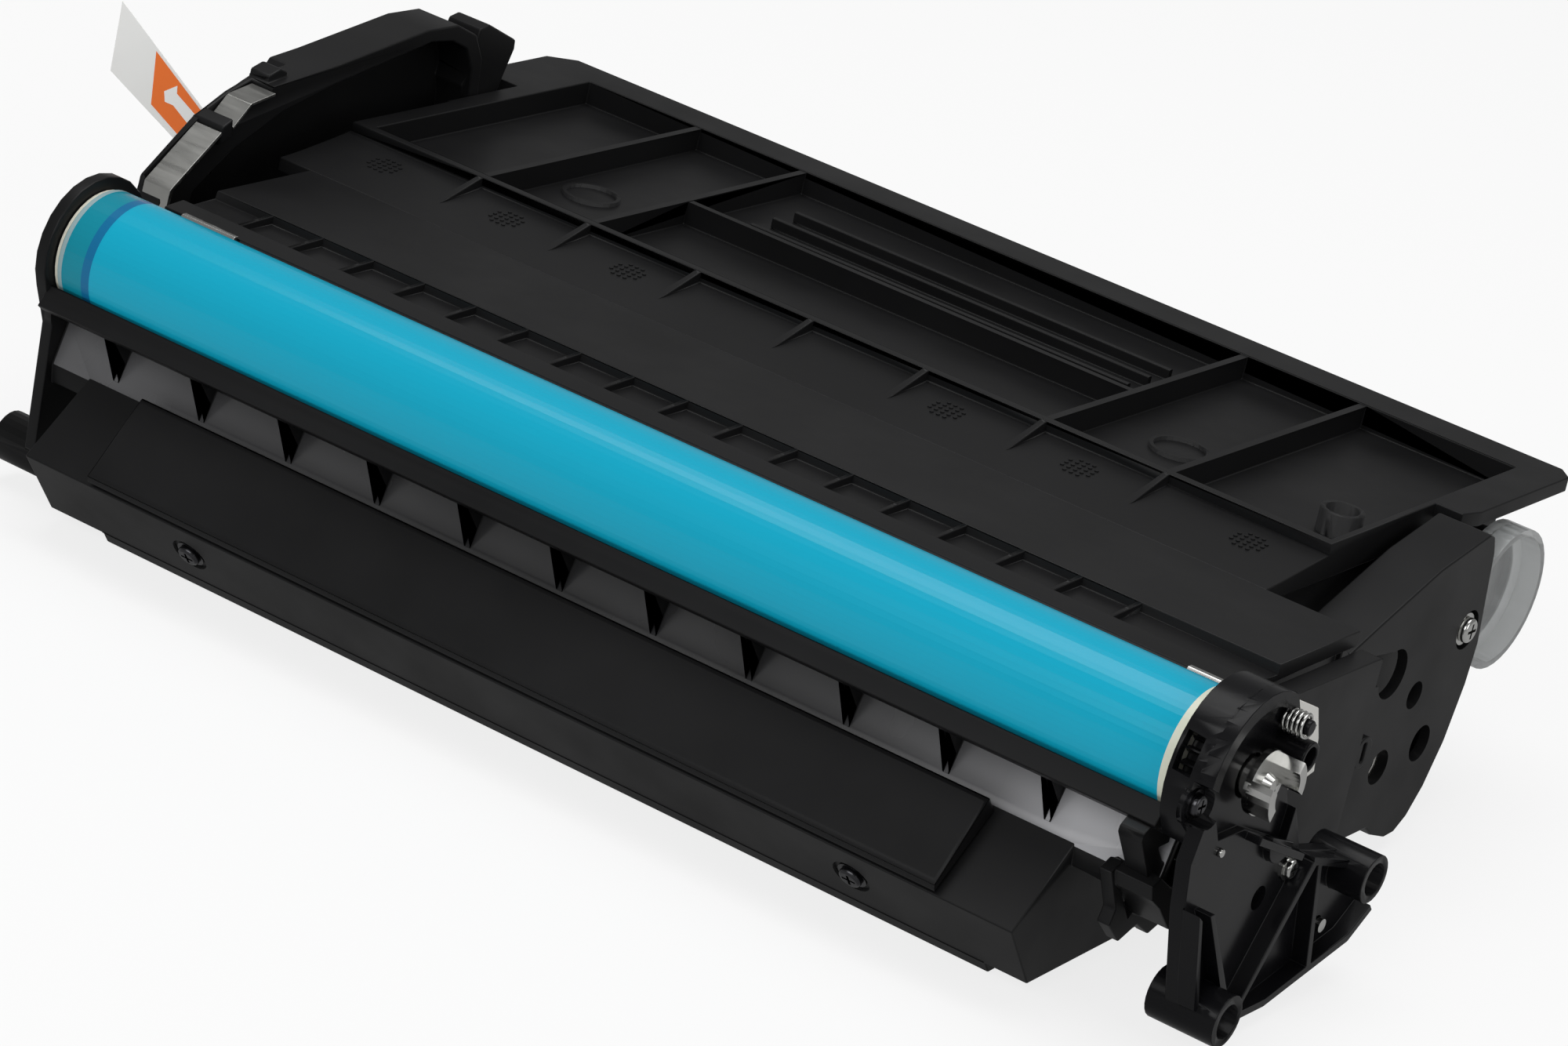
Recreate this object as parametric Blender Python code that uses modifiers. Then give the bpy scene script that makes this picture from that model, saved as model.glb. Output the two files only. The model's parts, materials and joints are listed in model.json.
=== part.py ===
"""Toner cartridge: a drum unit with its waste bin, hinged to a developer unit with its toner hopper.

Lengths are in millimetres in the driving dimensions and become metres in the mesh helpers.
Outlines are given as (y, z) from the drum's axis, which an empty carries to its place.
X runs along the drum, +Y to the back of the hopper and +Z up, with the underside at z = 0.
"""
import math

import bmesh
import bpy
from mathutils import Matrix, Vector

MM = 0.001
GAP = 0.3
OVERLAP = 0.4
PART_NAME = "toner_cartridge"

# Place of the drum's axis over the underside
DRUM_Y = -85.0
DRUM_Z = 50.4
FLOOR = -DRUM_Z

# Drum
DRUM_R = 12.0
DRUM_WALL = 0.75
DRUM_LEFT = -124.0
DRUM_RIGHT = 126.0

# Gears
DRUM_TEETH = 30
ROLLER_TEETH = 18
DRIVE_TEETH = 14
IDLER_TEETH = (27, 27, 27)
AGITATOR_TEETH = 24
GEAR_BACKLASH = 0.25
DRUM_GEAR_X = (127.6, 131.2)
TRAIN_X = (109.7, 112.7)

# Developer roller, charge roller and agitator
ROLLER_R = 6.9
ROLLER_AXIS_Z = -9.0
ROLLER_LEFT = -113.0
ROLLER_RIGHT = 106.8
ROLLER_SHAFT_R = 3.0
CHARGE_R = 4.1
CHARGE_AXIS_ANGLE = math.radians(-70.0)
CHARGE_LEFT = -115.0
CHARGE_RIGHT = 114.0
CHARGE_SHAFT_R = 1.9
AGITATOR_AXIS = (94.0, -30.1)
AGITATOR_SHAFT_R = 3.0
CAP_CENTRE = (139.7, -7.2)

# Hopper lid
LID_FRONT = 58.7
LID_BACK = 155.3
LID_LEFT = -130.0
LID_RIGHT = 107.0
LID_EDGE_RIGHT = 100.7
DECK_Z = 12.5
TRAY_FLOOR_Z = 7.5
LID_UNDER_Z = 5.2
TRAY_FRONT = 82.8
TRAY_LEFT = -125.6
TRAY_RIGHT = 99.9
STEP_Y = 80.6
FLANGE_BACK = 164.8
FLANGE_LEFT = -140.8
FLANGE_RIGHT = 108.5
FLANGE_THICK = 3.0
RIB_THICK = 1.6
COMPARTMENT_RIBS = (-97.2, -70.0, 38.0, 65.4)
MIDDLE_WALL_Y = 114.0
LOW_RIBS_Y = (139.0, 131.0, 123.0)
GUSSETS_X = (-97.2, -70.0, -43.0, -16.0, 11.0, 38.0, 65.4)

# Developer frame
FRAME_LEFT = -121.8
FRAME_RIGHT = 121.3
PANEL_Z = 8.3
POCKET_Z = 6.5
POCKET_PITCH = 12.5
POCKET_FIRST = -108.0
POCKET_COUNT = 17

# Hopper tub
TUB_LEFT = -125.0
TUB_RIGHT = 100.0
WALL = 2.2

# Drum unit
UNIT_PIVOT = (38.7, -37.8)
GUIDE_AXIS = (-2.4, -42.3)
BIN_LEFT = -116.0
BIN_RIGHT = 109.5
PANEL_LEFT = (-127.8, -125.2)
END_PLATE = (133.2, 136.2)
HINGE_PIN_R = 1.3


def new_collection(name):
    collection = bpy.data.collections.new(name)
    bpy.context.scene.collection.children.link(collection)
    return collection


def clear_scene():
    for item in list(bpy.data.objects):
        bpy.data.objects.remove(item, do_unlink=True)


clear_scene()
PARTS = new_collection(PART_NAME)
CUTTERS = new_collection("cutters")
RIG = bpy.data.objects.new("drum_axis", None)
RIG.location = (0, DRUM_Y * MM, DRUM_Z * MM)
PARTS.objects.link(RIG)


def material(name, colour, roughness=0.45, metallic=0.0):
    made = bpy.data.materials.new(name)
    made.use_nodes = True
    shader = made.node_tree.nodes["Principled BSDF"]
    shader.inputs["Base Color"].default_value = (*colour, 1.0)
    shader.inputs["Roughness"].default_value = roughness
    shader.inputs["Metallic"].default_value = metallic
    return made


BLACK = (0.014, 0.014, 0.015)
STEEL = (0.55, 0.55, 0.53)


# Outlines


def arc(centre, radius, start, end, steps):
    """Points on an arc, with angles in degrees from +Y towards +Z."""
    points = []
    for index in range(steps + 1):
        angle = math.radians(start + (end - start) * index / steps)
        points.append((centre[0] + radius * math.cos(angle), centre[1] + radius * math.sin(angle)))
    return points


def circle(centre, radius, steps=20):
    return arc(centre, radius, 0, 360, steps)[:-1]


def box_outline(low, high):
    return [low, (high[0], low[1]), high, (low[0], high[1])]


def rounded(points, radius, steps=3):
    """A closed outline with each corner turned to an arc of at most the given radius."""
    result = []
    count = len(points)
    for index, point in enumerate(points):
        here = Vector(point)
        back = Vector(points[index - 1]) - here
        ahead = Vector(points[(index + 1) % count]) - here
        half = back.angle(ahead) / 2
        reach = min(radius / math.tan(half), back.length * 0.45, ahead.length * 0.45)
        first = here + back.normalized() * reach
        last = here + ahead.normalized() * reach
        for step in range(steps + 1):
            share = step / steps
            near = first.lerp(here, share)
            far = here.lerp(last, share)
            result.append(tuple(near.lerp(far, share)))
    return result


def gear_outline(teeth, phase):
    """An involute gear's outline, with the middle of one tooth at the given angle."""
    pitch_r = GEAR_MODULE * teeth / 2
    base_r = pitch_r * math.cos(math.radians(20))
    outer_r = pitch_r + GEAR_MODULE
    root_r = pitch_r - 1.25 * GEAR_MODULE
    half_pitch = math.pi / (2 * teeth) - GEAR_BACKLASH / (2 * pitch_r)
    base_half = half_pitch + math.tan(math.radians(20)) - math.radians(20)
    flank = []
    for radius in (pitch_r, outer_r):
        pressure = math.acos(min(1.0, base_r / radius))
        flank.append((radius, base_half - (math.tan(pressure) - pressure)))
    points = []
    for tooth in range(teeth):
        middle = phase + 2 * math.pi * tooth / teeth
        side = [(root_r, -base_half)] + [(radius, -half) for radius, half in flank]
        side += [(radius, half) for radius, half in reversed(flank)] + [(root_r, base_half)]
        for radius, offset in side:
            angle = middle + offset
            points.append((radius * math.cos(angle), radius * math.sin(angle)))
    return points


def meshed_phase(phase, teeth, direction, next_teeth):
    """The next gear's phase, so that its gap meets this gear's tooth on the line of centres."""
    share = ((direction - phase) / (2 * math.pi / teeth)) % 1.0
    return direction + math.pi + (share + 0.5) * 2 * math.pi / next_teeth


# Solids


AXES = {
    "X": Matrix(((0, 0, 1), (1, 0, 0), (0, 1, 0))),
    "Y": Matrix(((1, 0, 0), (0, 0, 1), (0, 1, 0))),
    "Z": Matrix(((1, 0, 0), (0, 1, 0), (0, 0, 1))),
}


def settle(mesh):
    """Welds a mesh and points its faces outwards."""
    work = bmesh.new()
    work.from_mesh(mesh)
    bmesh.ops.remove_doubles(work, verts=work.verts, dist=0.002 * MM)
    bmesh.ops.recalc_face_normals(work, faces=work.faces)
    work.to_mesh(mesh)
    work.free()


def finished(name, mesh, tool):
    item = bpy.data.objects.new(name, mesh)
    if tool:
        CUTTERS.objects.link(item)
        item.hide_render = True
        item.display_type = "WIRE"
    else:
        PARTS.objects.link(item)
    item.parent = RIG
    return item


def evaluated_mesh(item):
    bpy.context.view_layer.update()
    graph = bpy.context.evaluated_depsgraph_get()
    return bpy.data.meshes.new_from_object(item.evaluated_get(graph))


def prism(name, outlines, start, end, axis="X", tool=False):
    """A flat outline, with any holes after it, drawn out along an axis."""
    if isinstance(outlines[0][0], (int, float)):
        outlines = [outlines]
    curve = bpy.data.curves.new(name, "CURVE")
    curve.dimensions = "2D"
    curve.fill_mode = "BOTH"
    curve.extrude = (end - start) / 2 * MM
    for outline in outlines:
        spline = curve.splines.new("POLY")
        spline.points.add(len(outline) - 1)
        for point, place in zip(spline.points, outline):
            point.co = (place[0] * MM, place[1] * MM, 0, 1)
        spline.use_cyclic_u = True
    source = bpy.data.objects.new(name + "_outline", curve)
    CUTTERS.objects.link(source)
    mesh = evaluated_mesh(source)
    bpy.data.objects.remove(source)
    turn = AXES[axis].to_4x4()
    middle = {"X": 0, "Y": 1, "Z": 2}[axis]
    shift = Vector((0, 0, 0))
    shift[middle] = (start + end) / 2 * MM
    mesh.transform(Matrix.Translation(shift) @ turn)
    settle(mesh)
    return finished(name, mesh, tool)


def bar(name, centre, radius, start, end, sides=20, tool=False):
    """A round bar along X."""
    work = bmesh.new()
    turn = Matrix.Rotation(math.pi / 2, 4, "Y")
    place = Vector(((start + end) / 2, centre[0], centre[1])) * MM
    bmesh.ops.create_cone(work, cap_ends=True, segments=sides, radius1=radius * MM,
                          radius2=radius * MM, depth=(end - start) * MM,
                          matrix=Matrix.Translation(place) @ turn)
    mesh = bpy.data.meshes.new(name)
    work.to_mesh(mesh)
    work.free()
    return finished(name, mesh, tool)


def block(name, low, high, tool=False):
    """A box between two corners."""
    work = bmesh.new()
    bmesh.ops.create_cube(work, size=1.0)
    size = Vector(high) - Vector(low)
    middle = (Vector(high) + Vector(low)) / 2
    bmesh.ops.scale(work, vec=size * MM, verts=work.verts)
    bmesh.ops.translate(work, vec=middle * MM, verts=work.verts)
    mesh = bpy.data.meshes.new(name)
    work.to_mesh(mesh)
    work.free()
    return finished(name, mesh, tool)


def turned(name, profile, centre=(0, 0), sides=32, tool=False):
    """A closed (x, radius) profile turned about a line along X."""
    work = bmesh.new()
    corners = [work.verts.new((x * MM, radius * MM, 0)) for x, radius in profile]
    for index, corner in enumerate(corners):
        if profile[index][1] > 0 or profile[(index + 1) % len(profile)][1] > 0:
            work.edges.new((corner, corners[(index + 1) % len(corners)]))
    mesh = bpy.data.meshes.new(name + "_profile")
    work.to_mesh(mesh)
    work.free()
    source = bpy.data.objects.new(name + "_profile", mesh)
    CUTTERS.objects.link(source)
    screw = source.modifiers.new("turn", "SCREW")
    screw.axis = "X"
    screw.steps = sides
    screw.render_steps = sides
    screw.use_merge_vertices = True
    screw.merge_threshold = 0.000005
    result = evaluated_mesh(source)
    bpy.data.objects.remove(source)
    result.transform(Matrix.Translation(Vector((0, centre[0], centre[1])) * MM))
    settle(result)
    return finished(name, result, tool)


def combine(item, tools, operation):
    for tool in tools:
        step = item.modifiers.new(tool.name, "BOOLEAN")
        step.operation = operation
        step.object = tool
        step.solver = "EXACT"


def join(item, *tools):
    combine(item, tools, "UNION")


def cut(item, *tools):
    combine(item, tools, "DIFFERENCE")


def dress(item, finish):
    item.data.materials.clear()
    item.data.materials.append(finish)
    item.data.shade_smooth()
    item.data.set_sharp_from_angle(angle=math.radians(35))
    return item


def on_axis(item, centre):
    """Moves a finished piece's origin to its own axis."""
    shift = Vector((0, centre[0], centre[1])) * MM
    item.data.transform(Matrix.Translation(-shift))
    item.location = shift
    return item


# Materials

PLASTIC = material("black_plastic", BLACK, 0.42)
GLOSS = material("glossy_black_plastic", (0.010, 0.010, 0.011), 0.22)
COATING = material("blue_drum_coating", (0.012, 0.386, 0.558), 0.16)
CREAM = material("cream_flange_plastic", (0.80, 0.78, 0.66), 0.4)
BRIGHT = material("bright_steel", STEEL, 0.25, 1.0)
DULL = material("dull_steel", (0.40, 0.40, 0.38), 0.4, 1.0)
RUBBER = material("black_rubber", (0.02, 0.02, 0.02), 0.7)
SLEEVE = material("roller_sleeve", (0.10, 0.10, 0.11), 0.5, 0.6)
URETHANE = material("urethane_blade", (0.55, 0.42, 0.22), 0.5)
CLEAR = material("clear_cap_plastic", (0.72, 0.74, 0.74), 0.25)
FILM = material("pull_tab_film", (0.78, 0.78, 0.74), 0.4)
NATURAL = material("natural_gear_plastic", (0.75, 0.74, 0.70), 0.45)


# Places worked out from the driving dimensions

ROLLER_REACH = DRUM_R + ROLLER_R + GAP
GEAR_MODULE = 2 * ROLLER_REACH / (DRUM_TEETH + ROLLER_TEETH)
ROLLER_AXIS = (math.sqrt(ROLLER_REACH ** 2 - ROLLER_AXIS_Z ** 2), ROLLER_AXIS_Z)
CHARGE_REACH = DRUM_R + CHARGE_R + GAP
CHARGE_AXIS = (CHARGE_REACH * math.cos(CHARGE_AXIS_ANGLE), CHARGE_REACH * math.sin(CHARGE_AXIS_ANGLE))


def gear_train():
    """Centres and phases of the gears from the developer roller to the agitator."""
    start = Vector(ROLLER_AXIS)
    goal = Vector(AGITATOR_AXIS)
    along = (goal - start).normalized()
    reach_one = GEAR_MODULE * (DRIVE_TEETH + IDLER_TEETH[0]) / 2
    reach_two = GEAR_MODULE * (IDLER_TEETH[0] + IDLER_TEETH[1]) / 2
    reach_three = GEAR_MODULE * (IDLER_TEETH[1] + IDLER_TEETH[2]) / 2
    reach_four = GEAR_MODULE * (IDLER_TEETH[2] + AGITATOR_TEETH) / 2
    one = start + along * reach_one
    two = one + along * reach_two
    span = (goal - two).length
    share = (span ** 2 + reach_three ** 2 - reach_four ** 2) / (2 * span)
    rise = math.sqrt(max(0.0, reach_three ** 2 - share ** 2))
    three = two + along * share + Vector((-along.y, along.x)) * rise
    centres = [start, one, two, three, goal]
    teeth = [DRIVE_TEETH, *IDLER_TEETH, AGITATOR_TEETH]
    phases = [0.0]
    for index in range(4):
        away = centres[index + 1] - centres[index]
        direction = math.atan2(away.y, away.x)
        phases.append(meshed_phase(phases[index], teeth[index], direction, teeth[index + 1]))
    return centres, teeth, phases


TRAIN_CENTRES, TRAIN_TEETH, TRAIN_PHASES = gear_train()


# Drum


def make_drum():
    profile = [(DRUM_LEFT, DRUM_R), (DRUM_RIGHT, DRUM_R), (DRUM_RIGHT, DRUM_R - DRUM_WALL),
               (DRUM_LEFT, DRUM_R - DRUM_WALL)]
    dress(turned("opc_drum", profile, sides=64), COATING)


def make_drum_ends():
    plug_r = DRUM_R - DRUM_WALL - GAP
    shaft_r = 2.0
    left = DRUM_LEFT - GAP
    profile = [(left - 0.6, DRUM_R - 0.3), (left, DRUM_R - 0.3), (left, plug_r),
               (left + 9, plug_r), (left + 9, plug_r - 2), (left + 2, plug_r - 2),
               (left + 2, shaft_r + 2.5), (left + 9, shaft_r + 2.5), (left + 9, shaft_r + GAP),
               (left - 0.6, shaft_r + GAP)]
    dress(turned("drum_hub_left", profile, sides=40), CREAM)
    dress(bar("drum_shaft_left", (0, 0), shaft_r, PANEL_LEFT[0] - 2.4, left + 12, 20), BRIGHT)
    right = DRUM_RIGHT + GAP
    profile = [(right - 9, plug_r - 2), (right - 9, plug_r), (right, plug_r),
               (right, DRUM_R + 0.6), (DRUM_GEAR_X[0] - GAP, DRUM_R + 0.6),
               (DRUM_GEAR_X[0] - GAP, 3.0), (right - 7, 3.0), (right - 7, plug_r - 2)]
    dress(turned("drum_flange_right", profile, sides=40), CREAM)


def make_drum_gear():
    away = Vector(ROLLER_AXIS)
    direction = math.atan2(away.y, away.x)
    hole = circle((0, 0), 3.6 + GAP, 20)
    wheel = prism("drum_gear", [gear_outline(DRUM_TEETH, 0.0), hole], *DRUM_GEAR_X)
    dress(wheel, GLOSS)
    phase = meshed_phase(0.0, DRUM_TEETH, direction, ROLLER_TEETH)
    hole = circle((0, 0), ROLLER_SHAFT_R - 0.6 + GAP, 16)
    mate = prism("developer_roller_gear", [gear_outline(ROLLER_TEETH, phase), hole], *DRUM_GEAR_X)
    mate.location = Vector((0, *ROLLER_AXIS)) * MM
    dress(mate, NATURAL)


def make_coupling():
    face = 140.0
    body = turned("drum_coupling", [(DRUM_GEAR_X[0] - 4, 0), (DRUM_GEAR_X[0] - 4, 2.6),
                                    (DRUM_GEAR_X[0] + GAP, 2.6), (DRUM_GEAR_X[0] + GAP, 3.6),
                                    (136.9, 3.6), (136.9, 6.0), (138.1, 6.0), (138.1, 2.0),
                                    (face - 0.4, 1.4), (face, 0)], sides=28)
    for turn in (20.0, 200.0):
        claw = arc((0, 0), 6.0, turn - 38, turn + 30, 6) + arc((0, 0), 3.9, turn + 24, turn - 30, 5)
        join(body, prism(f"claw_{int(turn)}", claw, 137.6, 142.3, tool=True))
    dress(body, BRIGHT)


# Drum frame with the waste bin


BIN_TOP_REAR = (-7.0, -22.5)
BIN_TOP_FRONT = (-22.0, -35.0)
BIN_FRONT_LOW = (-11.7, -47.7)
BIN_DEEP_LOW = (-9.6, -50.1)


def make_drum_frame():
    """The bar in front of the drum, its neck and the bin below, with the left side panel."""
    neck = [(-11.5, -5.9), (-14.0, -9.5), (-12.6, -10.6), (-4.3, -14.1), BIN_TOP_REAR, (-6.4, -26.4),
            (10.0, -26.4), (12.4, -24.0), (11.8, -17.2), (10.3, -17.2), (10.1, -20.3), (1.0, -20.3),
            (1.0, -24.0), (-5.0, -24.0), (-2.7, -14.6), (-2.9, -12.95), (-7.4, -10.95), (-10.4, -7.9)]
    frame = prism("drum_frame", neck, PANEL_LEFT[1] - OVERLAP, END_PLATE[0] - 6.5)
    bin_outer = [(-6.3, -21.6), BIN_TOP_FRONT, BIN_FRONT_LOW, (24.0, -46.5), (11.9, -24.9), (-5.0, -24.9)]
    join(frame, prism("bin_outer", bin_outer, BIN_LEFT, BIN_RIGHT, tool=True))
    deep = [(-14.0, -35.0), (-17.6, -40.2), BIN_DEEP_LOW, (23.0, -48.2), (20.0, -38.0)]
    join(frame, prism("bin_deep", deep, -103.0, 100.6, tool=True))
    left = [(12.2, 7.2)] + arc((0, 0), DRUM_R + 2.2, 30, 207, 12)
    left += [(-9.0, -14.6), (-7.8, -40.7), (-2.4, -47.3), (4.0, -45.0), (37.0, -41.2)]
    left += arc(UNIT_PIVOT, 3.4, -90, 60, 4) + [(24.0, -22.0), (10.5, -14.8), (9.2, -9.0)]
    hole = circle((0, 0), 2.0 + GAP, 16)
    pivot_hole = circle(UNIT_PIVOT, HINGE_PIN_R + GAP, 12)
    join(frame, prism("side_panel", [left, hole, pivot_hole], *PANEL_LEFT, tool=True))
    join(frame, bar("guide_pin", GUIDE_AXIS, 5.0, -136.0, PANEL_LEFT[1] - OVERLAP, 24, tool=True))
    for index in range(11):
        middle = -110.0 + 21.3 * index
        gusset = [(-4.0, -14.0), (-11.6, -10.7), (-6.4, -20.6)]
        join(frame, prism(f"bar_gusset_{index}", gusset, middle - 0.7, middle + 0.7, tool=True))
    bin_inner = [(-6.6, -25.0), (-18.9, -35.2), (-10.2, -45.9), (21.0, -44.8), (11.0, -27.6), (-1.0, -27.6)]
    cavity = prism("bin_inner", bin_inner, BIN_LEFT + 3, BIN_RIGHT - 3, tool=True)
    channel = [(1.0, -20.0), (1.0, -29.0), (-6.0, -29.0), (-4.9, -23.0), (-2.7, -14.6), (0.0, -14.0)]
    slot = prism("bin_channel", channel, BIN_LEFT + 3, BIN_RIGHT - 3, tool=True)
    cut(frame, cavity, slot)
    for middle in (-78.0, 74.0):
        cut(frame, tilted_bar(f"screw_recess_{int(middle)}", middle, 3.9, -4.0, 1.6))
    dress(frame, PLASTIC)
    return frame


FRONT_WALL_MIDDLE = (-17.7, -42.0)
FRONT_WALL_NORMAL = Vector((0.0, -0.777, -0.63))


def tilted_bar(name, x, radius, depth_out, depth_in, tool=True, sides=20):
    """A round bar square to the bin's front wall, from outside it to a depth behind it."""
    work = bmesh.new()
    length = depth_in - depth_out
    turn = Vector((0, 0, 1)).rotation_difference(-FRONT_WALL_NORMAL).to_matrix().to_4x4()
    foot = Vector((x, *FRONT_WALL_MIDDLE)) - FRONT_WALL_NORMAL * (depth_in + depth_out) / 2
    bmesh.ops.create_cone(work, cap_ends=True, segments=sides, radius1=radius * MM,
                          radius2=radius * MM, depth=length * MM,
                          matrix=Matrix.Translation(foot * MM) @ turn)
    mesh = bpy.data.meshes.new(name)
    work.to_mesh(mesh)
    work.free()
    return finished(name, mesh, tool)


def make_bin_cover():
    """The raised plate on the bin's slope."""
    down = (Vector(BIN_TOP_FRONT) - Vector(BIN_TOP_REAR)).normalized()
    out = Vector((-down.y, down.x)) * -1
    rear = Vector(BIN_TOP_REAR) + out * GAP
    front = Vector(BIN_TOP_FRONT) + out * GAP
    points = [rear + down * 0.4, rear + down * 0.4 + out * 4.2, rear + down * 2.0 + out * 4.7,
              front - down * 1.2 + out * 2.4, front - down * 0.3 + out * 1.4, front - down * 0.2]
    cover = prism("bin_cover", [tuple(point) for point in points], -100.0, 93.5)
    dress(cover, PLASTIC)


def make_end_plate():
    """The right end of the drum unit: a ring round the drum's gear, a plate and a ribbed leg."""
    ring_outer = DRUM_R + 4.0
    ring_inner = DRUM_R + 1.6
    face = [(7.5, 14.1)] + arc((0, 0), ring_outer, 62, 200, 12)
    face += [(-16.6, -12.0), (-14.4, -21.6), (-7.2, -41.0), (-4.0, -46.8), (19.0, -47.3),
             (46.6, -42.2), (53.4, -37.7), (46.6, -28.0)]
    face += arc((42.0, -27.0), 4.6, 10, 130, 4) + [(24.0, -19.6), (17.0, -8.0), (14.4, 3.0)]
    hole = circle((0, 0), 3.6 + 0.6, 20)
    pivot_hole = circle(UNIT_PIVOT, HINGE_PIN_R + GAP, 12)
    plate = prism("drum_end_plate", [face, hole, pivot_hole], *END_PLATE)
    ring = arc((0, 0), ring_outer, 72, 226, 14) + arc((0, 0), ring_inner, 226, 72, 14)
    join(plate, prism("gear_ring", ring, 127.2, END_PLATE[0] + OVERLAP, tool=True))
    window = arc((0, 0), ring_outer + 2.0, 146, 172, 3) + arc((0, 0), ring_inner - 1.6, 172, 146, 3)
    cut(plate, prism("gear_window", window, 128.0, 131.6, tool=True))
    join(plate, bar("leg_boss", GUIDE_AXIS, 4.9, 129.6, 143.3, 24, tool=True))
    cut(plate, bar("leg_boss_bore", GUIDE_AXIS, 3.3, 138.0, 144.0, 20, tool=True))
    join(plate, bar("rear_boss", (42.0, -27.0), 4.6, 131.0, 143.3, 24, tool=True))
    cut(plate, bar("rear_boss_bore", (42.0, -27.0), 3.2, 138.0, 144.0, 20, tool=True))
    join(plate, bar("tube_boss", (5.0, 8.6), 2.9, 135.8, 141.4, 20, tool=True))
    cut(plate, bar("tube_boss_bore", (5.0, 8.6), 2.0, 137.0, 142.0, 16, tool=True))
    ribs = {
        "leg_front_rib": [(-15.0, -20.6), (-13.4, -21.8), (-6.0, -41.0), (-8.0, -40.4)],
        "arm_low_rib": [(-1.0, -47.2), (19.0, -47.3), (46.6, -42.2), (53.4, -37.7), (52.2, -36.4),
                        (46.0, -40.6), (19.0, -45.7), (-1.0, -45.6)],
        "arm_top_rib": [(24.0, -19.6), (38.5, -24.0), (38.5, -25.4), (24.0, -21.2)],
        "brace_one": [(-11.0, -21.6), (-9.4, -21.6), (6.6, -44.9), (4.8, -45.2)],
        "brace_two": [(24.0, -20.6), (25.6, -21.0), (9.4, -45.4), (7.8, -45.4)],
        "brace_three": [(26.0, -21.0), (27.6, -21.6), (34.0, -43.8), (32.4, -44.0)],
    }
    for name, outline in ribs.items():
        join(plate, prism(name, outline, END_PLATE[1] - OVERLAP, 139.4, tool=True))
    dress(plate, GLOSS)


def make_unit_hinge():
    for side, start, end in (("left", -130.4, -116.8), ("right", 122.2, 137.4)):
        dress(bar(f"hinge_pin_{side}", UNIT_PIVOT, HINGE_PIN_R, start, end, 16), BRIGHT)


def make_charge_roller():
    y, z = CHARGE_AXIS
    shaft = bar("charge_shaft", CHARGE_AXIS, CHARGE_SHAFT_R, CHARGE_LEFT - 4, CHARGE_RIGHT + 4, 14)
    dress(on_axis(shaft, CHARGE_AXIS), BRIGHT)
    inner = CHARGE_SHAFT_R + 0.05
    profile = [(CHARGE_LEFT, CHARGE_R), (CHARGE_RIGHT, CHARGE_R), (CHARGE_RIGHT, inner),
               (CHARGE_LEFT, inner)]
    dress(on_axis(turned("charge_roller", profile, CHARGE_AXIS, sides=24), CHARGE_AXIS), RUBBER)
    for side, start in (("left", CHARGE_LEFT - 3.4), ("right", CHARGE_RIGHT + 0.4)):
        shell = box_outline((y - 3.4, z - 4.6), (y + 3.4, z + 2.4))
        hole = circle(CHARGE_AXIS, CHARGE_SHAFT_R + GAP, 14)
        dress(prism(f"charge_bearing_{side}", [shell, hole], start, start + 3.0), NATURAL)


def make_cleaning_blade():
    bracket = [(-0.6, -24.5), (0.7, -24.5), (0.7, -14.6), (-0.6, -14.6)]
    dress(prism("blade_bracket", bracket, BIN_LEFT + 4, BIN_RIGHT - 4), DULL)
    tip = -(DRUM_R + GAP)
    blade = [(-1.2, tip - 2.0), (0.3, tip - 2.0), (0.1, tip), (-1.2, tip)]
    dress(prism("cleaning_blade", blade, BIN_LEFT + 4, BIN_RIGHT - 4), URETHANE)


# Developer unit


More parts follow.
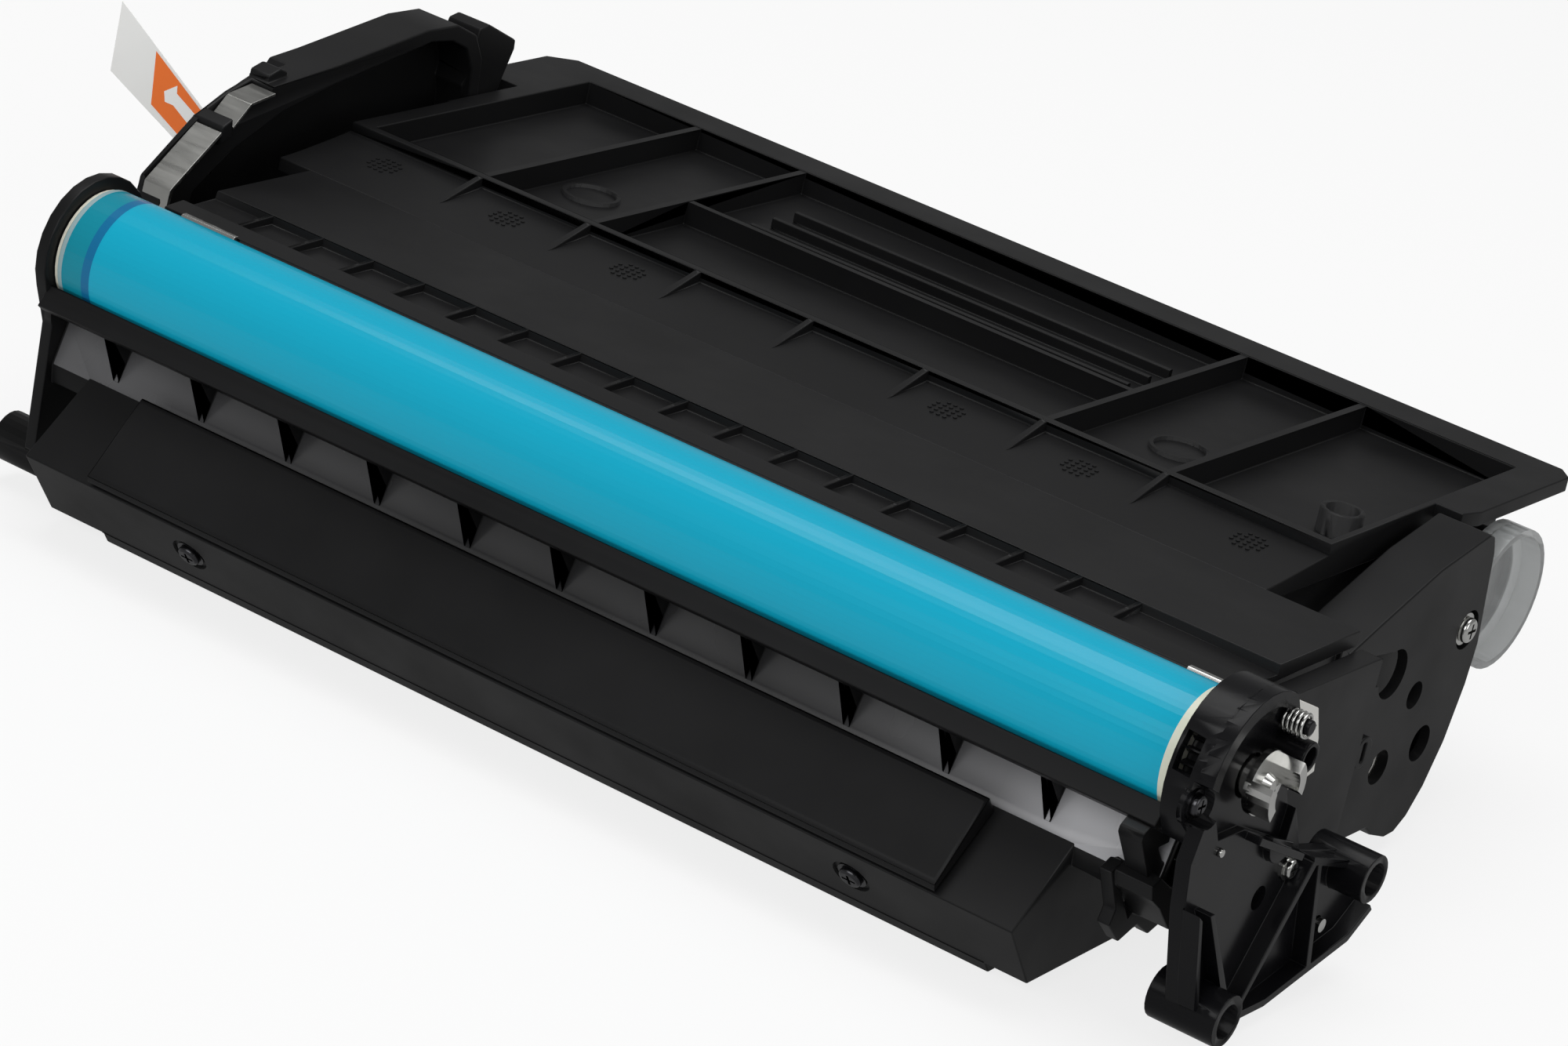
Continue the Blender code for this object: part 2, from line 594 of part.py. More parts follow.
def make_lid():
    """The ribbed deck over the hopper."""
    section = [(LID_FRONT, LID_UNDER_Z), (LID_FRONT, 8.1), (64.0, 8.5), (STEP_Y, 10.3), (STEP_Y, DECK_Z),
               (FLANGE_BACK, DECK_Z), (FLANGE_BACK, DECK_Z - FLANGE_THICK),
               (LID_BACK + 0.8, DECK_Z - FLANGE_THICK), (LID_BACK + 0.8, LID_UNDER_Z)]
    lid = prism("hopper_lid", section, LID_LEFT, LID_EDGE_RIGHT + 0.6)
    left = [(LID_LEFT + 2, 112.0), (LID_LEFT + 2, FLANGE_BACK), (FLANGE_LEFT + 5, FLANGE_BACK),
            (FLANGE_LEFT, FLANGE_BACK - 5), (FLANGE_LEFT, 136.0), (LID_LEFT - 0.4, 136.0),
            (LID_LEFT - 0.4, 112.0)]
    join(lid, prism("flange_left", left, DECK_Z - FLANGE_THICK, DECK_Z, "Z", tool=True))
    right = [(LID_EDGE_RIGHT - 2, 120.8), (LID_RIGHT, 120.8), (FLANGE_RIGHT, 126.0),
             (FLANGE_RIGHT, FLANGE_BACK - 3), (FLANGE_RIGHT - 3, FLANGE_BACK),
             (LID_EDGE_RIGHT - 2, FLANGE_BACK)]
    join(lid, prism("flange_right", right, DECK_Z - FLANGE_THICK, DECK_Z, "Z", tool=True))
    cut(lid, block("tray", (TRAY_LEFT, TRAY_FRONT, TRAY_FLOOR_Z), (TRAY_RIGHT, LID_BACK, DECK_Z + 2), True))
    half = RIB_THICK / 2
    top = DECK_Z - 0.2
    for index, x in enumerate(COMPARTMENT_RIBS):
        low = (x - half, TRAY_FRONT - OVERLAP, TRAY_FLOOR_Z - OVERLAP)
        high = (x + half, LID_BACK + OVERLAP, top)
        join(lid, block(f"compartment_rib_{index}", low, high, True))
    middle_low = (COMPARTMENT_RIBS[1], MIDDLE_WALL_Y - half, TRAY_FLOOR_Z - OVERLAP)
    join(lid, block("middle_wall", middle_low, (COMPARTMENT_RIBS[2], MIDDLE_WALL_Y + half, top - 0.1), True))
    for index, y in enumerate(LOW_RIBS_Y):
        low = (-59.5, y - 0.6, TRAY_FLOOR_Z - OVERLAP)
        join(lid, block(f"low_rib_{index}", low, (31.6, y + 0.6, TRAY_FLOOR_Z + 2.2), True))
    for index, (x, y) in enumerate(((-88.0, 107.0), (54.0, 106.0))):
        disc = [circle((x, y), 6.0, 24), circle((x, y), 5.2, 24)]
        join(lid, prism(f"disc_{index}", disc, TRAY_FLOOR_Z - OVERLAP, TRAY_FLOOR_Z + 0.8, "Z", tool=True))
    ring = [circle((92.8, 99.8), 4.3, 20), circle((92.8, 99.8), 3.3, 20)]
    join(lid, prism("tray_boss", ring, TRAY_FLOOR_Z - OVERLAP, DECK_Z - 0.4, "Z", tool=True))
    for index, x in enumerate(GUSSETS_X):
        fin = [(STEP_Y + OVERLAP, DECK_Z - 0.15), (STEP_Y - 1, DECK_Z - 0.2), (67.0, 8.7),
               (STEP_Y + OVERLAP, 9.4)]
        join(lid, prism(f"band_gusset_{index}", fin, x - 0.7, x + 0.7, tool=True))
    dress(lid, PLASTIC)


def make_developer_frame():
    """The chamber of the developer roller, with the row of pockets beside the drum."""
    roof = [(14.2, 4.6), (14.2, 7.5), (19.6, 8.0), (20.0, POCKET_Z), (29.4, POCKET_Z), (29.8, PANEL_Z),
            (LID_FRONT - GAP, PANEL_Z), (LID_FRONT - GAP, 5.2), (40.0, 5.2)]
    frame = prism("developer_frame", roof, FRAME_LEFT, FRAME_RIGHT)
    lip = [(12.9, 4.6), (14.8, 4.6), (14.8, 7.4), (12.9, 7.0)]
    join(frame, prism("front_lip", lip, -102.6, 111.6, tool=True))
    for index in range(POCKET_COUNT):
        x = POCKET_FIRST + POCKET_PITCH * index
        rib = [(18.6, POCKET_Z - OVERLAP), (30.4, POCKET_Z - OVERLAP), (30.4, PANEL_Z - 0.1), (18.6, 7.7)]
        join(frame, prism(f"pocket_rib_{index}", rib, x - 0.5, x + 0.5, tool=True))
    wall = [(14.8, 5.6), (13.6, -3.0), (14.6, -18.0), (26.0, -24.0), (40.5, -33.6), (LID_FRONT - GAP, -38.0),
            (LID_FRONT - GAP, 5.6)]
    hole = circle(ROLLER_AXIS, ROLLER_SHAFT_R + GAP, 18)
    for name, start, end in (("left", FRAME_LEFT, -117.0), ("right", 107.2, 109.4)):
        join(frame, prism(f"end_wall_{name}", [wall, hole], start, end, tool=True))
    floor = [(25.0, -20.6), (24.8, -23.4), (40.5, -33.7), (LID_FRONT - GAP, -38.0), (LID_FRONT - GAP, -35.4),
             (41.5, -31.2)]
    join(frame, prism("chamber_floor", floor, FRAME_LEFT + 1, 109.0, tool=True))
    lug = arc(UNIT_PIVOT, 3.2, -150, 30, 6) + [(41.0, -26.0), (32.0, -26.0)]
    pin_hole = circle(UNIT_PIVOT, HINGE_PIN_R + GAP, 12)
    join(frame, prism("hinge_lug_left", [lug, pin_hole], FRAME_LEFT, -117.4, tool=True))
    dress(frame, PLASTIC)


def make_right_bearing():
    """The plate at the right end of the developer frame, with the roller's bearing and the hinge lug."""
    outline = rounded([(12.6, 4.2), (13.4, -17.0), (30.0, -26.0), (35.6, -40.8), (41.8, -40.8),
                       (60.0, -30.0), (60.0, 4.8), (16.0, 4.8)], 1.2, 2)
    hole = circle(ROLLER_AXIS, ROLLER_SHAFT_R + GAP, 18)
    pin_hole = circle(UNIT_PIVOT, HINGE_PIN_R + GAP, 12)
    dress(prism("bearing_plate_right", [outline, hole, pin_hole], 121.8, 126.2), PLASTIC)


def make_developer_roller():
    inner = ROLLER_R - 0.8
    profile = [(ROLLER_LEFT, ROLLER_R), (ROLLER_RIGHT, ROLLER_R), (ROLLER_RIGHT, inner),
               (ROLLER_LEFT, inner)]
    dress(on_axis(turned("developer_sleeve", profile, ROLLER_AXIS, sides=32), ROLLER_AXIS), SLEEVE)
    core = bar("magnet_core", ROLLER_AXIS, inner - GAP, ROLLER_LEFT + 2, ROLLER_RIGHT - 2, 24)
    dress(on_axis(core, ROLLER_AXIS), DULL)
    hub = [(ROLLER_RIGHT - 1.7, 0), (ROLLER_RIGHT - 1.7, inner - 0.1), (ROLLER_RIGHT - 0.2, inner - 0.1),
           (ROLLER_RIGHT - 0.2, ROLLER_SHAFT_R), (TRAIN_X[0] - GAP, ROLLER_SHAFT_R),
           (TRAIN_X[0] - GAP, ROLLER_SHAFT_R - 0.6), (132.0, ROLLER_SHAFT_R - 0.6), (132.0, 0)]
    dress(on_axis(turned("developer_shaft_right", hub, ROLLER_AXIS, sides=18), ROLLER_AXIS), DULL)
    hub = [(-124.0, 0), (-124.0, ROLLER_SHAFT_R), (ROLLER_LEFT + 0.2, ROLLER_SHAFT_R),
           (ROLLER_LEFT + 0.2, inner - 0.1), (ROLLER_LEFT + 1.7, inner - 0.1), (ROLLER_LEFT + 1.7, 0)]
    dress(on_axis(turned("developer_shaft_left", hub, ROLLER_AXIS, sides=18), ROLLER_AXIS), DULL)


def make_doctor_blade():
    y = ROLLER_AXIS[0] + 1.6
    top = ROLLER_AXIS_Z + ROLLER_R
    bracket = [(14.9, 2.6), (14.9, 4.3), (27.0, 4.3), (27.0, -1.0), (25.8, -1.0), (25.8, 2.6)]
    item = prism("doctor_blade_bracket", bracket, -116.6, 106.8)
    dress(item, BRIGHT)
    blade = [(y, top + GAP), (25.5, -0.8), (25.5, 1.2), (y, top + GAP + 1.6)]
    dress(prism("doctor_blade", blade, ROLLER_LEFT + 1, ROLLER_RIGHT - 1), URETHANE)


def make_tub():
    """The hopper under the lid, open at the top and towards the developer roller."""
    outer = [(LID_FRONT, 4.9), (LID_FRONT, -38.0), (74.0, FLOOR), (140.0, FLOOR), (153.4, -34.0),
             (153.4, 4.9)]
    tub = prism("hopper_tub", outer, TUB_LEFT, TUB_RIGHT)
    inner = [(LID_FRONT + WALL, 6.0), (LID_FRONT + WALL, -36.8), (75.0, FLOOR + WALL), (139.0, FLOOR + WALL),
             (153.4 - WALL, -33.0), (153.4 - WALL, 6.0)]
    cut(tub, prism("tub_inner", inner, TUB_LEFT + WALL, TUB_RIGHT - WALL, tool=True))
    window = (LID_FRONT - 1, -30.0)
    cut(tub, block("toner_window", (-104.0, window[0], window[1]), (98.0, LID_FRONT + WALL + 1, 0.0), True))
    bore = AGITATOR_SHAFT_R + GAP
    cut(tub, bar("agitator_hole", AGITATOR_AXIS, bore, TUB_RIGHT - 4, TUB_RIGHT + 1, 18, True))
    neck = [(TUB_RIGHT - OVERLAP, 11.6), (105.6, 11.6), (105.6, 10.0), (TUB_RIGHT - OVERLAP, 10.0)]
    join(tub, turned("fill_neck", neck, CAP_CENTRE, 28, True))
    cut(tub, bar("fill_hole", CAP_CENTRE, 9.4, TUB_RIGHT - 4, TUB_RIGHT + 3, 24, True))
    dress(tub, PLASTIC)


def make_fill_cap():
    profile = [(102.2, 0), (102.2, 9.1), (105.9, 9.1), (105.9, 14.2), (111.8, 14.2), (111.8, 12.9),
               (107.6, 12.9), (107.6, 0)]
    dress(turned("fill_cap", profile, CAP_CENTRE, 36), CLEAR)


def make_agitator():
    shaft = bar("agitator_shaft", AGITATOR_AXIS, AGITATOR_SHAFT_R, TUB_LEFT + WALL + GAP, 113.0, 16)
    flat = block("film_seat", (-110.0, AGITATOR_AXIS[0] - 1.0, AGITATOR_AXIS[1] + 1.0),
                 (92.0, AGITATOR_AXIS[0] + 1.0, AGITATOR_AXIS[1] + 5.0), True)
    join(shaft, flat)
    dress(on_axis(shaft, AGITATOR_AXIS), PLASTIC)
    film = block("agitator_film", (-108.0, AGITATOR_AXIS[0] + 1.0 + GAP, AGITATOR_AXIS[1] + 3.4),
                 (90.0, AGITATOR_AXIS[0] + 1.0 + GAP + 0.35, AGITATOR_AXIS[1] + 16.0))
    dress(on_axis(film, AGITATOR_AXIS), FILM)


def make_gears():
    names = ("developer_drive_gear", "idler_gear_1", "idler_gear_2", "idler_gear_3", "agitator_gear")
    bores = (ROLLER_SHAFT_R - 0.6 + GAP, 2.4, 2.4, 2.4, AGITATOR_SHAFT_R + GAP)
    for name, bore, centre, teeth, phase in zip(names, bores, TRAIN_CENTRES, TRAIN_TEETH, TRAIN_PHASES):
        wheel = prism(name, [gear_outline(teeth, phase), circle((0, 0), bore, 16)], *TRAIN_X)
        wheel.location = Vector((0, *centre)) * MM
        dress(wheel, NATURAL)


def make_gear_cover():
    """The shell over the gears at the right of the hopper."""
    outline = [(15.2, 4.2), (62.0, 4.2), (70.0, -1.6), (79.4, 1.8), (99.9, 8.7), (117.6, 12.2),
               (120.0, 10.6), (124.8, -13.0), (118.3, -32.8), (112.0, -42.5), (105.7, -47.4),
               (99.6, -45.4), (96.6, -43.2), (82.0, -43.2), (58.0, -37.4), (30.0, -29.0), (14.6, -16.0),
               (13.6, -3.0)]
    cover = prism("gear_cover", rounded(outline, 2.0, 2), 103.6, 115.2)
    inner = [(8.0, 2.2), (60.8, 2.2), (69.6, -3.9), (79.8, -0.4), (100.4, 6.4), (116.6, 9.6), (118.2, 9.0),
             (122.4, -12.8), (116.2, -32.0), (104.8, -44.6), (97.4, -41.0), (82.2, -41.0), (58.8, -35.3),
             (31.8, -27.0), (8.0, -12.0)]
    cut(cover, prism("cover_inner", inner, 103.0, 113.1, tool=True))
    cut(cover, block("cover_step", (103.0, 5.0, -60.0), (TRAIN_X[0], LID_FRONT + GAP, 20.0), True))
    holes = (("b", (102.2, -17.1), 2.6), ("c", (110.0, -28.9), 3.4), ("e", (91.5, -10.3), 4.2),
             ("roller", ROLLER_AXIS, ROLLER_SHAFT_R - 0.6 + GAP))
    for name, centre, radius in holes:
        cut(cover, bar(f"cover_hole_{name}", centre, radius, 112.0, 116.5, 18, True))
    screw_place = (118.0, -7.3)
    shank_r = 1.3
    cut(cover, bar("cover_screw_seat", screw_place, 3.6, 114.2, 116.5, 18, True))
    dress(cover, PLASTIC)
    profile = [(110.6, 0), (110.6, 0.8), (114.5, shank_r), (114.5, 2.9), (115.9, 2.6), (116.2, 0)]
    screw = turned("gear_cover_screw", profile, screw_place, 20)
    cut(cover, bar("cover_screw_hole", screw_place, shank_r + GAP, 110.0, 115.0, 14, True))
    dress(screw, BRIGHT)


def make_left_cover():
    """The shell at the left of the hopper, with the frame of the contact plates and a hook."""
    outline = [(22.0, 2.6), (25.4, 8.6), (40.0, 17.4), (52.0, 21.6), (74.0, 25.0), (102.0, 29.0),
               (112.0, 28.6), (119.0, 25.6), (122.5, 20.0), (124.0, 8.4), (130.0, 7.8), (136.0, -12.0),
               (118.0, -34.0), (70.0, -38.0), (44.0, -30.0), (28.0, -18.0)]
    cover = prism("left_cover", rounded(outline, 2.4, 2), -146.0, -131.0)
    inner = [(26.4, 2.6), (28.4, 6.6), (41.0, 14.4), (53.0, 18.6), (74.4, 22.0), (102.0, 26.0),
             (111.0, 25.6), (116.4, 23.4), (119.4, 18.0), (121.0, 6.0), (127.6, 5.0), (132.6, -11.4),
             (116.6, -31.2),
             (70.4, -35.0), (45.4, -27.4), (30.6, -16.6)]
    cut(cover, prism("left_inner", inner, -143.4, -130.0, tool=True))
    hook = [(119.0, 14.0), (122.0, 26.0), (125.0, 26.6), (135.2, 22.0), (135.4, 20.0), (131.6, 10.0),
            (124.0, 4.0)]
    join(cover, prism("rear_hook", rounded(hook, 1.0, 2), -144.0, -132.4, tool=True))
    slot = [(40.6, 11.7), (44.9, 11.7), (44.9, 30.0), (40.6, 30.0)]
    cut(cover, prism("tab_slot", slot, -148.0, -143.0, tool=True))
    dress(cover, PLASTIC)


def make_contacts():
    front = [(26.0, 10.4), (39.6, 18.6), (40.1, 17.85), (26.6, 9.75)]
    dress(prism("contact_plate_front", front, -136.0, -126.0), BRIGHT)
    rear = [(42.0, 19.45), (51.8, 22.9), (62.0, 24.5), (62.0, 23.6), (52.0, 22.05), (42.4, 18.7)]
    dress(prism("contact_plate_rear", rear, -138.0, -126.0), BRIGHT)


def make_pull_tab():
    """The film strip that is pulled out to unseal the toner."""
    strip = [(-143.6, 41.2), (-168.8, 72.2), (-168.57, 72.4), (-143.6, 41.55)]
    dress(prism("seal_tab", strip, 12.0, 27.0, "Z"), FILM)


make_drum()
make_drum_ends()
make_drum_gear()
make_coupling()
make_drum_frame()
make_bin_cover()
make_end_plate()
make_unit_hinge()
make_charge_roller()
make_cleaning_blade()
make_lid()
make_developer_frame()
make_right_bearing()
make_developer_roller()
make_doctor_blade()
make_tub()
make_fill_cap()
make_agitator()
make_gears()
make_gear_cover()
make_left_cover()
make_contacts()
make_pull_tab()
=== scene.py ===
import json
import math

import bmesh
import bpy
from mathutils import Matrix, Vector


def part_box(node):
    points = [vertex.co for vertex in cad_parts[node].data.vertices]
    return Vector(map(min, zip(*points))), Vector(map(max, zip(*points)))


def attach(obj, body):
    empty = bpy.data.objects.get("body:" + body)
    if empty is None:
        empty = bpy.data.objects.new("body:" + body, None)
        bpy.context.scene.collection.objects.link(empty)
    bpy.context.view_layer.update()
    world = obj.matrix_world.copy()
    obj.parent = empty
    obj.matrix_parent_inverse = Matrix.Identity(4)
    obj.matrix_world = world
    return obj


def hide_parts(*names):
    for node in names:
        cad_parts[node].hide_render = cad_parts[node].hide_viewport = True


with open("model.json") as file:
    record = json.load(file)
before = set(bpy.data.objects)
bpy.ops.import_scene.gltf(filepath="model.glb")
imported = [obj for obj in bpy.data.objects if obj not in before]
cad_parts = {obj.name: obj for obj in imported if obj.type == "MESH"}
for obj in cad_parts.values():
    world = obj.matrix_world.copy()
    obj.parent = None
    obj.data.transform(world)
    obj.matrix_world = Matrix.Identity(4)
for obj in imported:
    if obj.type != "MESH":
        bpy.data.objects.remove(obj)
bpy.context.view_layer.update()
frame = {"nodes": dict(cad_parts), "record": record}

# Toner cartridge: finishes, rounded edges and small fittings on its solids.
# Lengths in millimetres become metres through MM. X runs along the drum, +Y to the
# back of the hopper and +Z up. Outlines round the drum are measured from its axis.
MM = 0.001
MERGE_DISTANCE = 0.004 * MM
BODY_OF = {}
for body_name, body_nodes in frame["record"]["behaviour"]["bodies"].items():
    for body_node in body_nodes:
        BODY_OF[body_node] = body_name

DRUM_LOW, DRUM_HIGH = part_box("opc_drum")
DRUM_AXIS = Vector((0, (DRUM_LOW.y + DRUM_HIGH.y) / 2, (DRUM_LOW.z + DRUM_HIGH.z) / 2))

# The camera that took the photograph, fitted to the drum and the deck
CAMERA_PLACE = (0.518911, -0.906512, 0.418115)
CAMERA_TURN = (68.798, -11.7995, 35.0143)
CAMERA_LENS = 133.243


def from_axis(x, y, z):
    """A place given in millimetres from the drum's axis, in the model's frame."""
    return DRUM_AXIS + Vector((x, y, z)) * MM


def middle_of(node):
    """The (y, z) of a solid's middle in millimetres from the drum's axis."""
    low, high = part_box(node)
    middle = ((low + high) / 2 - DRUM_AXIS) / MM
    return middle.y, middle.z


# Finishes


def finish(name, colour, roughness, metallic=0.0, specular=0.5):
    made = bpy.data.materials.new(name)
    made.use_nodes = True
    shader = made.node_tree.nodes["Principled BSDF"]
    shader.inputs["Base Color"].default_value = (*colour, 1.0)
    shader.inputs["Roughness"].default_value = roughness
    shader.inputs["Metallic"].default_value = metallic
    shader.inputs["Specular IOR Level"].default_value = specular
    return made, shader


def place_on_piece(made):
    """The Object coordinates of the piece that wears the finish."""
    return made.node_tree.nodes.new("ShaderNodeTexCoord").outputs["Object"]


def noise(made, scale, detail=3.0, stretch=None):
    nodes, links = made.node_tree.nodes, made.node_tree.links
    texture = nodes.new("ShaderNodeTexNoise")
    texture.inputs["Scale"].default_value = scale
    texture.inputs["Detail"].default_value = detail
    source = place_on_piece(made)
    if stretch:
        mapping = nodes.new("ShaderNodeMapping")
        mapping.inputs["Scale"].default_value = stretch
        links.new(source, mapping.inputs["Vector"])
        source = mapping.outputs["Vector"]
    links.new(source, texture.inputs["Vector"])
    return texture.outputs["Fac"]


def spread(made, value, low, high, start=0.3, end=0.7):
    """The value's middle range turned to a range from low to high."""
    span = made.node_tree.nodes.new("ShaderNodeMapRange")
    span.inputs["From Min"].default_value = start
    span.inputs["From Max"].default_value = end
    span.inputs["To Min"].default_value = low
    span.inputs["To Max"].default_value = high
    made.node_tree.links.new(value, span.inputs["Value"])
    return span.outputs["Result"]


def sheen(made, shader, value, low, high):
    """Roughness that runs from low to high with a value."""
    made.node_tree.links.new(spread(made, value, low, high), shader.inputs["Roughness"])


def grain(made, shader, value, strength, depth):
    """A raised grain from a value."""
    bump = made.node_tree.nodes.new("ShaderNodeBump")
    bump.inputs["Strength"].default_value = strength
    bump.inputs["Distance"].default_value = depth
    made.node_tree.links.new(value, bump.inputs["Height"])
    made.node_tree.links.new(bump.outputs["Normal"], shader.inputs["Normal"])


def tint(made, shader, value, first, second):
    """Colour that runs between two tones with a value."""
    mix = made.node_tree.nodes.new("ShaderNodeMix")
    mix.data_type = "RGBA"
    mix.inputs["A"].default_value = (*first, 1.0)
    mix.inputs["B"].default_value = (*second, 1.0)
    made.node_tree.links.new(value, mix.inputs["Factor"])
    made.node_tree.links.new(mix.outputs["Result"], shader.inputs["Base Color"])


def moulded_black(name, colour, rough_low, rough_high, grain_scale, specular):
    """Black moulded plastic with a fine grain and slightly uneven sheen."""
    made, shader = finish(name, colour, rough_low, specular=specular)
    sheen(made, shader, noise(made, 55.0, 4.0), rough_low, rough_high)
    tone = spread(made, noise(made, 18.0), 0.0, 1.0)
    tint(made, shader, tone, [part * 0.82 for part in colour], [part * 1.18 for part in colour])
    grain(made, shader, noise(made, grain_scale, 2.0), strength=0.10, depth=0.03 * MM)
    return made


def colours_along(made, shader, start, end, stops, between):
    """Colours along X from start to end, each with its share of the way."""
    nodes, links = made.node_tree.nodes, made.node_tree.links
    split = nodes.new("ShaderNodeSeparateXYZ")
    links.new(place_on_piece(made), split.inputs["Vector"])
    along = spread(made, split.outputs["X"], 0.0, 1.0, start, end)
    ramp = nodes.new("ShaderNodeValToRGB")
    ramp.color_ramp.interpolation = between
    while len(ramp.color_ramp.elements) < len(stops):
        ramp.color_ramp.elements.new(0.5)
    for element, (share, colour) in zip(ramp.color_ramp.elements, stops):
        element.position = share
        element.color = (*colour, 1.0)
    links.new(along, ramp.inputs["Fac"])
    links.new(ramp.outputs["Color"], shader.inputs["Base Color"])


def drum_coating():
    """The blue coating, with the bands at the drum's left end and the pale rim at its right end."""
    blue = (0.005, 0.385, 0.565)
    made, shader = finish("drum_coating", blue, 0.24, specular=0.22)
    length = (DRUM_HIGH.x - DRUM_LOW.x) / MM
    bands = (
        (0.0, (0.30, 0.42, 0.44)),
        (0.5, (0.005, 0.250, 0.340)),
        (5.0, (0.006, 0.150, 0.330)),
        (7.0, blue),
        (length - 2.6, (0.70, 0.72, 0.60)),
    )
    stops = [(start / length, colour) for start, colour in bands]
    colours_along(made, shader, DRUM_LOW.x, DRUM_HIGH.x, stops, "CONSTANT")
    sheen(made, shader, noise(made, 40.0, 3.0, (0.15, 1, 1)), 0.20, 0.28)
    shader.inputs["Coat Weight"].default_value = 0.08
    shader.inputs["Coat Roughness"].default_value = 0.1
    return made


def metal(name, colour, rough_low, rough_high, stretch, grain_scale=700.0, strength=0.06):
    made, shader = finish(name, colour, rough_low, metallic=1.0)
    brushed = noise(made, grain_scale, 3.0, stretch)
    sheen(made, shader, brushed, rough_low, rough_high)
    tint(made, shader, spread(made, noise(made, 90.0), 0.0, 1.0), [part * 0.8 for part in colour], colour)
    grain(made, shader, brushed, strength, depth=0.02 * MM)
    return made


def plain_plastic(name, colour, roughness, grain_scale=900.0, specular=0.5):
    made, shader = finish(name, colour, roughness, specular=specular)
    sheen(made, shader, noise(made, 70.0), roughness * 0.85, roughness * 1.2)
    tint(made, shader, spread(made, noise(made, 25.0), 0.0, 1.0), [part * 0.93 for part in colour], colour)
    grain(made, shader, noise(made, grain_scale, 2.0), strength=0.05, depth=0.02 * MM)
    return made


def cap_plastic():
    made = plain_plastic("cap_plastic", (0.84, 0.86, 0.86), 0.16)
    shader = made.node_tree.nodes["Principled BSDF"]
    shader.inputs["Transmission Weight"].default_value = 0.82
    shader.inputs["IOR"].default_value = 1.45
    return made


def neck_painted_reflection():
    """The smooth wall under the drum's front bar: real gloss, and a painted reflection in its colour that
    goes from dark to pale towards the right.
    """
    made, shader = finish("neck_painted_reflection", (0.1, 0.1, 0.105), 0.22, specular=0.8)
    left_end, right_end = -0.11, 0.108
    # Painted reflection: grey tones along X stand in for the floor seen in the wall, lighter at the left
    # end, dark in the middle and pale towards the right.
    tones = ((0.0, 0.11), (0.12, 0.07), (0.4, 0.035), (0.68, 0.03), (0.82, 0.07), (0.93, 0.18), (1.0, 0.42))
    stops = [(share, (tone, tone, tone * 1.04)) for share, tone in tones]
    colours_along(made, shader, left_end, right_end, stops, "LINEAR")
    sheen(made, shader, noise(made, 60.0), 0.18, 0.3)
    return made


FINISHES = {
    "body_plastic": moulded_black("body_plastic", (0.0082, 0.0082, 0.0086), 0.34, 0.46, 3200.0, 0.18),
    "gloss_plastic": moulded_black("gloss_plastic", (0.0045, 0.0045, 0.0052), 0.18, 0.28, 2500.0, 0.16),
    "drum_coating": drum_coating(),
    "cream_plastic": plain_plastic("cream_plastic", (0.80, 0.78, 0.66), 0.38),
    "bright_steel": metal("bright_steel", (0.66, 0.66, 0.64), 0.12, 0.24, (0.2, 1, 1)),
    "sheet_steel": metal("sheet_steel", (0.47, 0.47, 0.45), 0.24, 0.4, (0.08, 1, 1)),
    "roller_sleeve": metal("roller_sleeve", (0.10, 0.10, 0.11), 0.45, 0.6, (1, 1, 1)),
    "roller_rubber": plain_plastic("roller_rubber", (0.02, 0.02, 0.02), 0.7, specular=0.3),
    "blade_urethane": plain_plastic("blade_urethane", (0.55, 0.42, 0.22), 0.5),
    "gear_plastic": plain_plastic("gear_plastic", (0.75, 0.74, 0.70), 0.45),
    "tab_film": plain_plastic("tab_film", (0.97, 0.97, 0.95), 0.32),
    "cap_plastic": cap_plastic(),
}
# The neck wall's finish, whose colour is a painted reflection on top of its real gloss.
NECK_PAINTED_REFLECTION = neck_painted_reflection()
DARK_STEEL = metal("dark_steel", (0.07, 0.07, 0.075), 0.22, 0.36, (1, 1, 1))
TAB_ORANGE = plain_plastic("tab_orange", (1.0, 0.19, 0.012), 0.4)
TAB_WHITE = plain_plastic("tab_white", (0.98, 0.98, 0.97), 0.4)


def wear(piece, made):
    piece.data.materials.clear()
    piece.data.materials.append(made)


# Tools for making pieces


def nothing_selected():
    if bpy.context.object and bpy.context.object.mode != "OBJECT":
        bpy.ops.object.mode_set(mode="OBJECT")
    bpy.ops.object.select_all(action="DESELECT")


def only(piece):
    """Leaves one piece selected and active, in object mode."""
    nothing_selected()
    piece.hide_viewport = False
    piece.select_set(True)
    bpy.context.view_layer.objects.active = piece


def edit_all(piece):
    """Opens a piece in edit mode with all of it selected."""
    only(piece)
    bpy.ops.object.mode_set(mode="EDIT")
    bpy.ops.mesh.select_all(action="SELECT")


def settle(piece, name, made, body):
    """Names a piece, puts its place into its mesh, dresses it and lets it ride."""
    only(piece)
    piece.name = name
    piece.data.name = name
    bpy.ops.object.transform_apply(location=True, rotation=True, scale=True)
    wear(piece, made)
    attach(piece, body)
    return piece


def apply_all(piece):
    only(piece)
    for modifier in list(piece.modifiers):
        bpy.ops.object.modifier_apply(modifier=modifier.name)


def soft_edges(piece, width, shortest, angle=32.0, segments=2):
    """Rounds the sharp edges that are long enough to take the width."""
    mesh = piece.data
    work = bmesh.new()
    work.from_mesh(mesh)
    weight = work.edges.layers.float.new("bevel_weight_edge")
    for edge in work.edges:
        if not edge.is_manifold or edge.calc_length() < shortest:
            continue
        if edge.calc_face_angle(0.0) > math.radians(angle):
            edge[weight] = 1.0
    work.to_mesh(mesh)
    work.free()
    bevel = piece.modifiers.new("edges", "BEVEL")
    bevel.limit_method = "WEIGHT"
    bevel.width = width
    bevel.segments = segments
    bevel.use_clamp_overlap = False
    bevel.miter_outer = "MITER_ARC"


def even_shading(piece, angle=50.0):
    only(piece)
    bpy.ops.object.shade_smooth_by_angle(angle=math.radians(angle))
    steady = piece.modifiers.new("steady", "WEIGHTED_NORMAL")
    steady.keep_sharp = True
    bpy.ops.object.modifier_apply(modifier="steady")


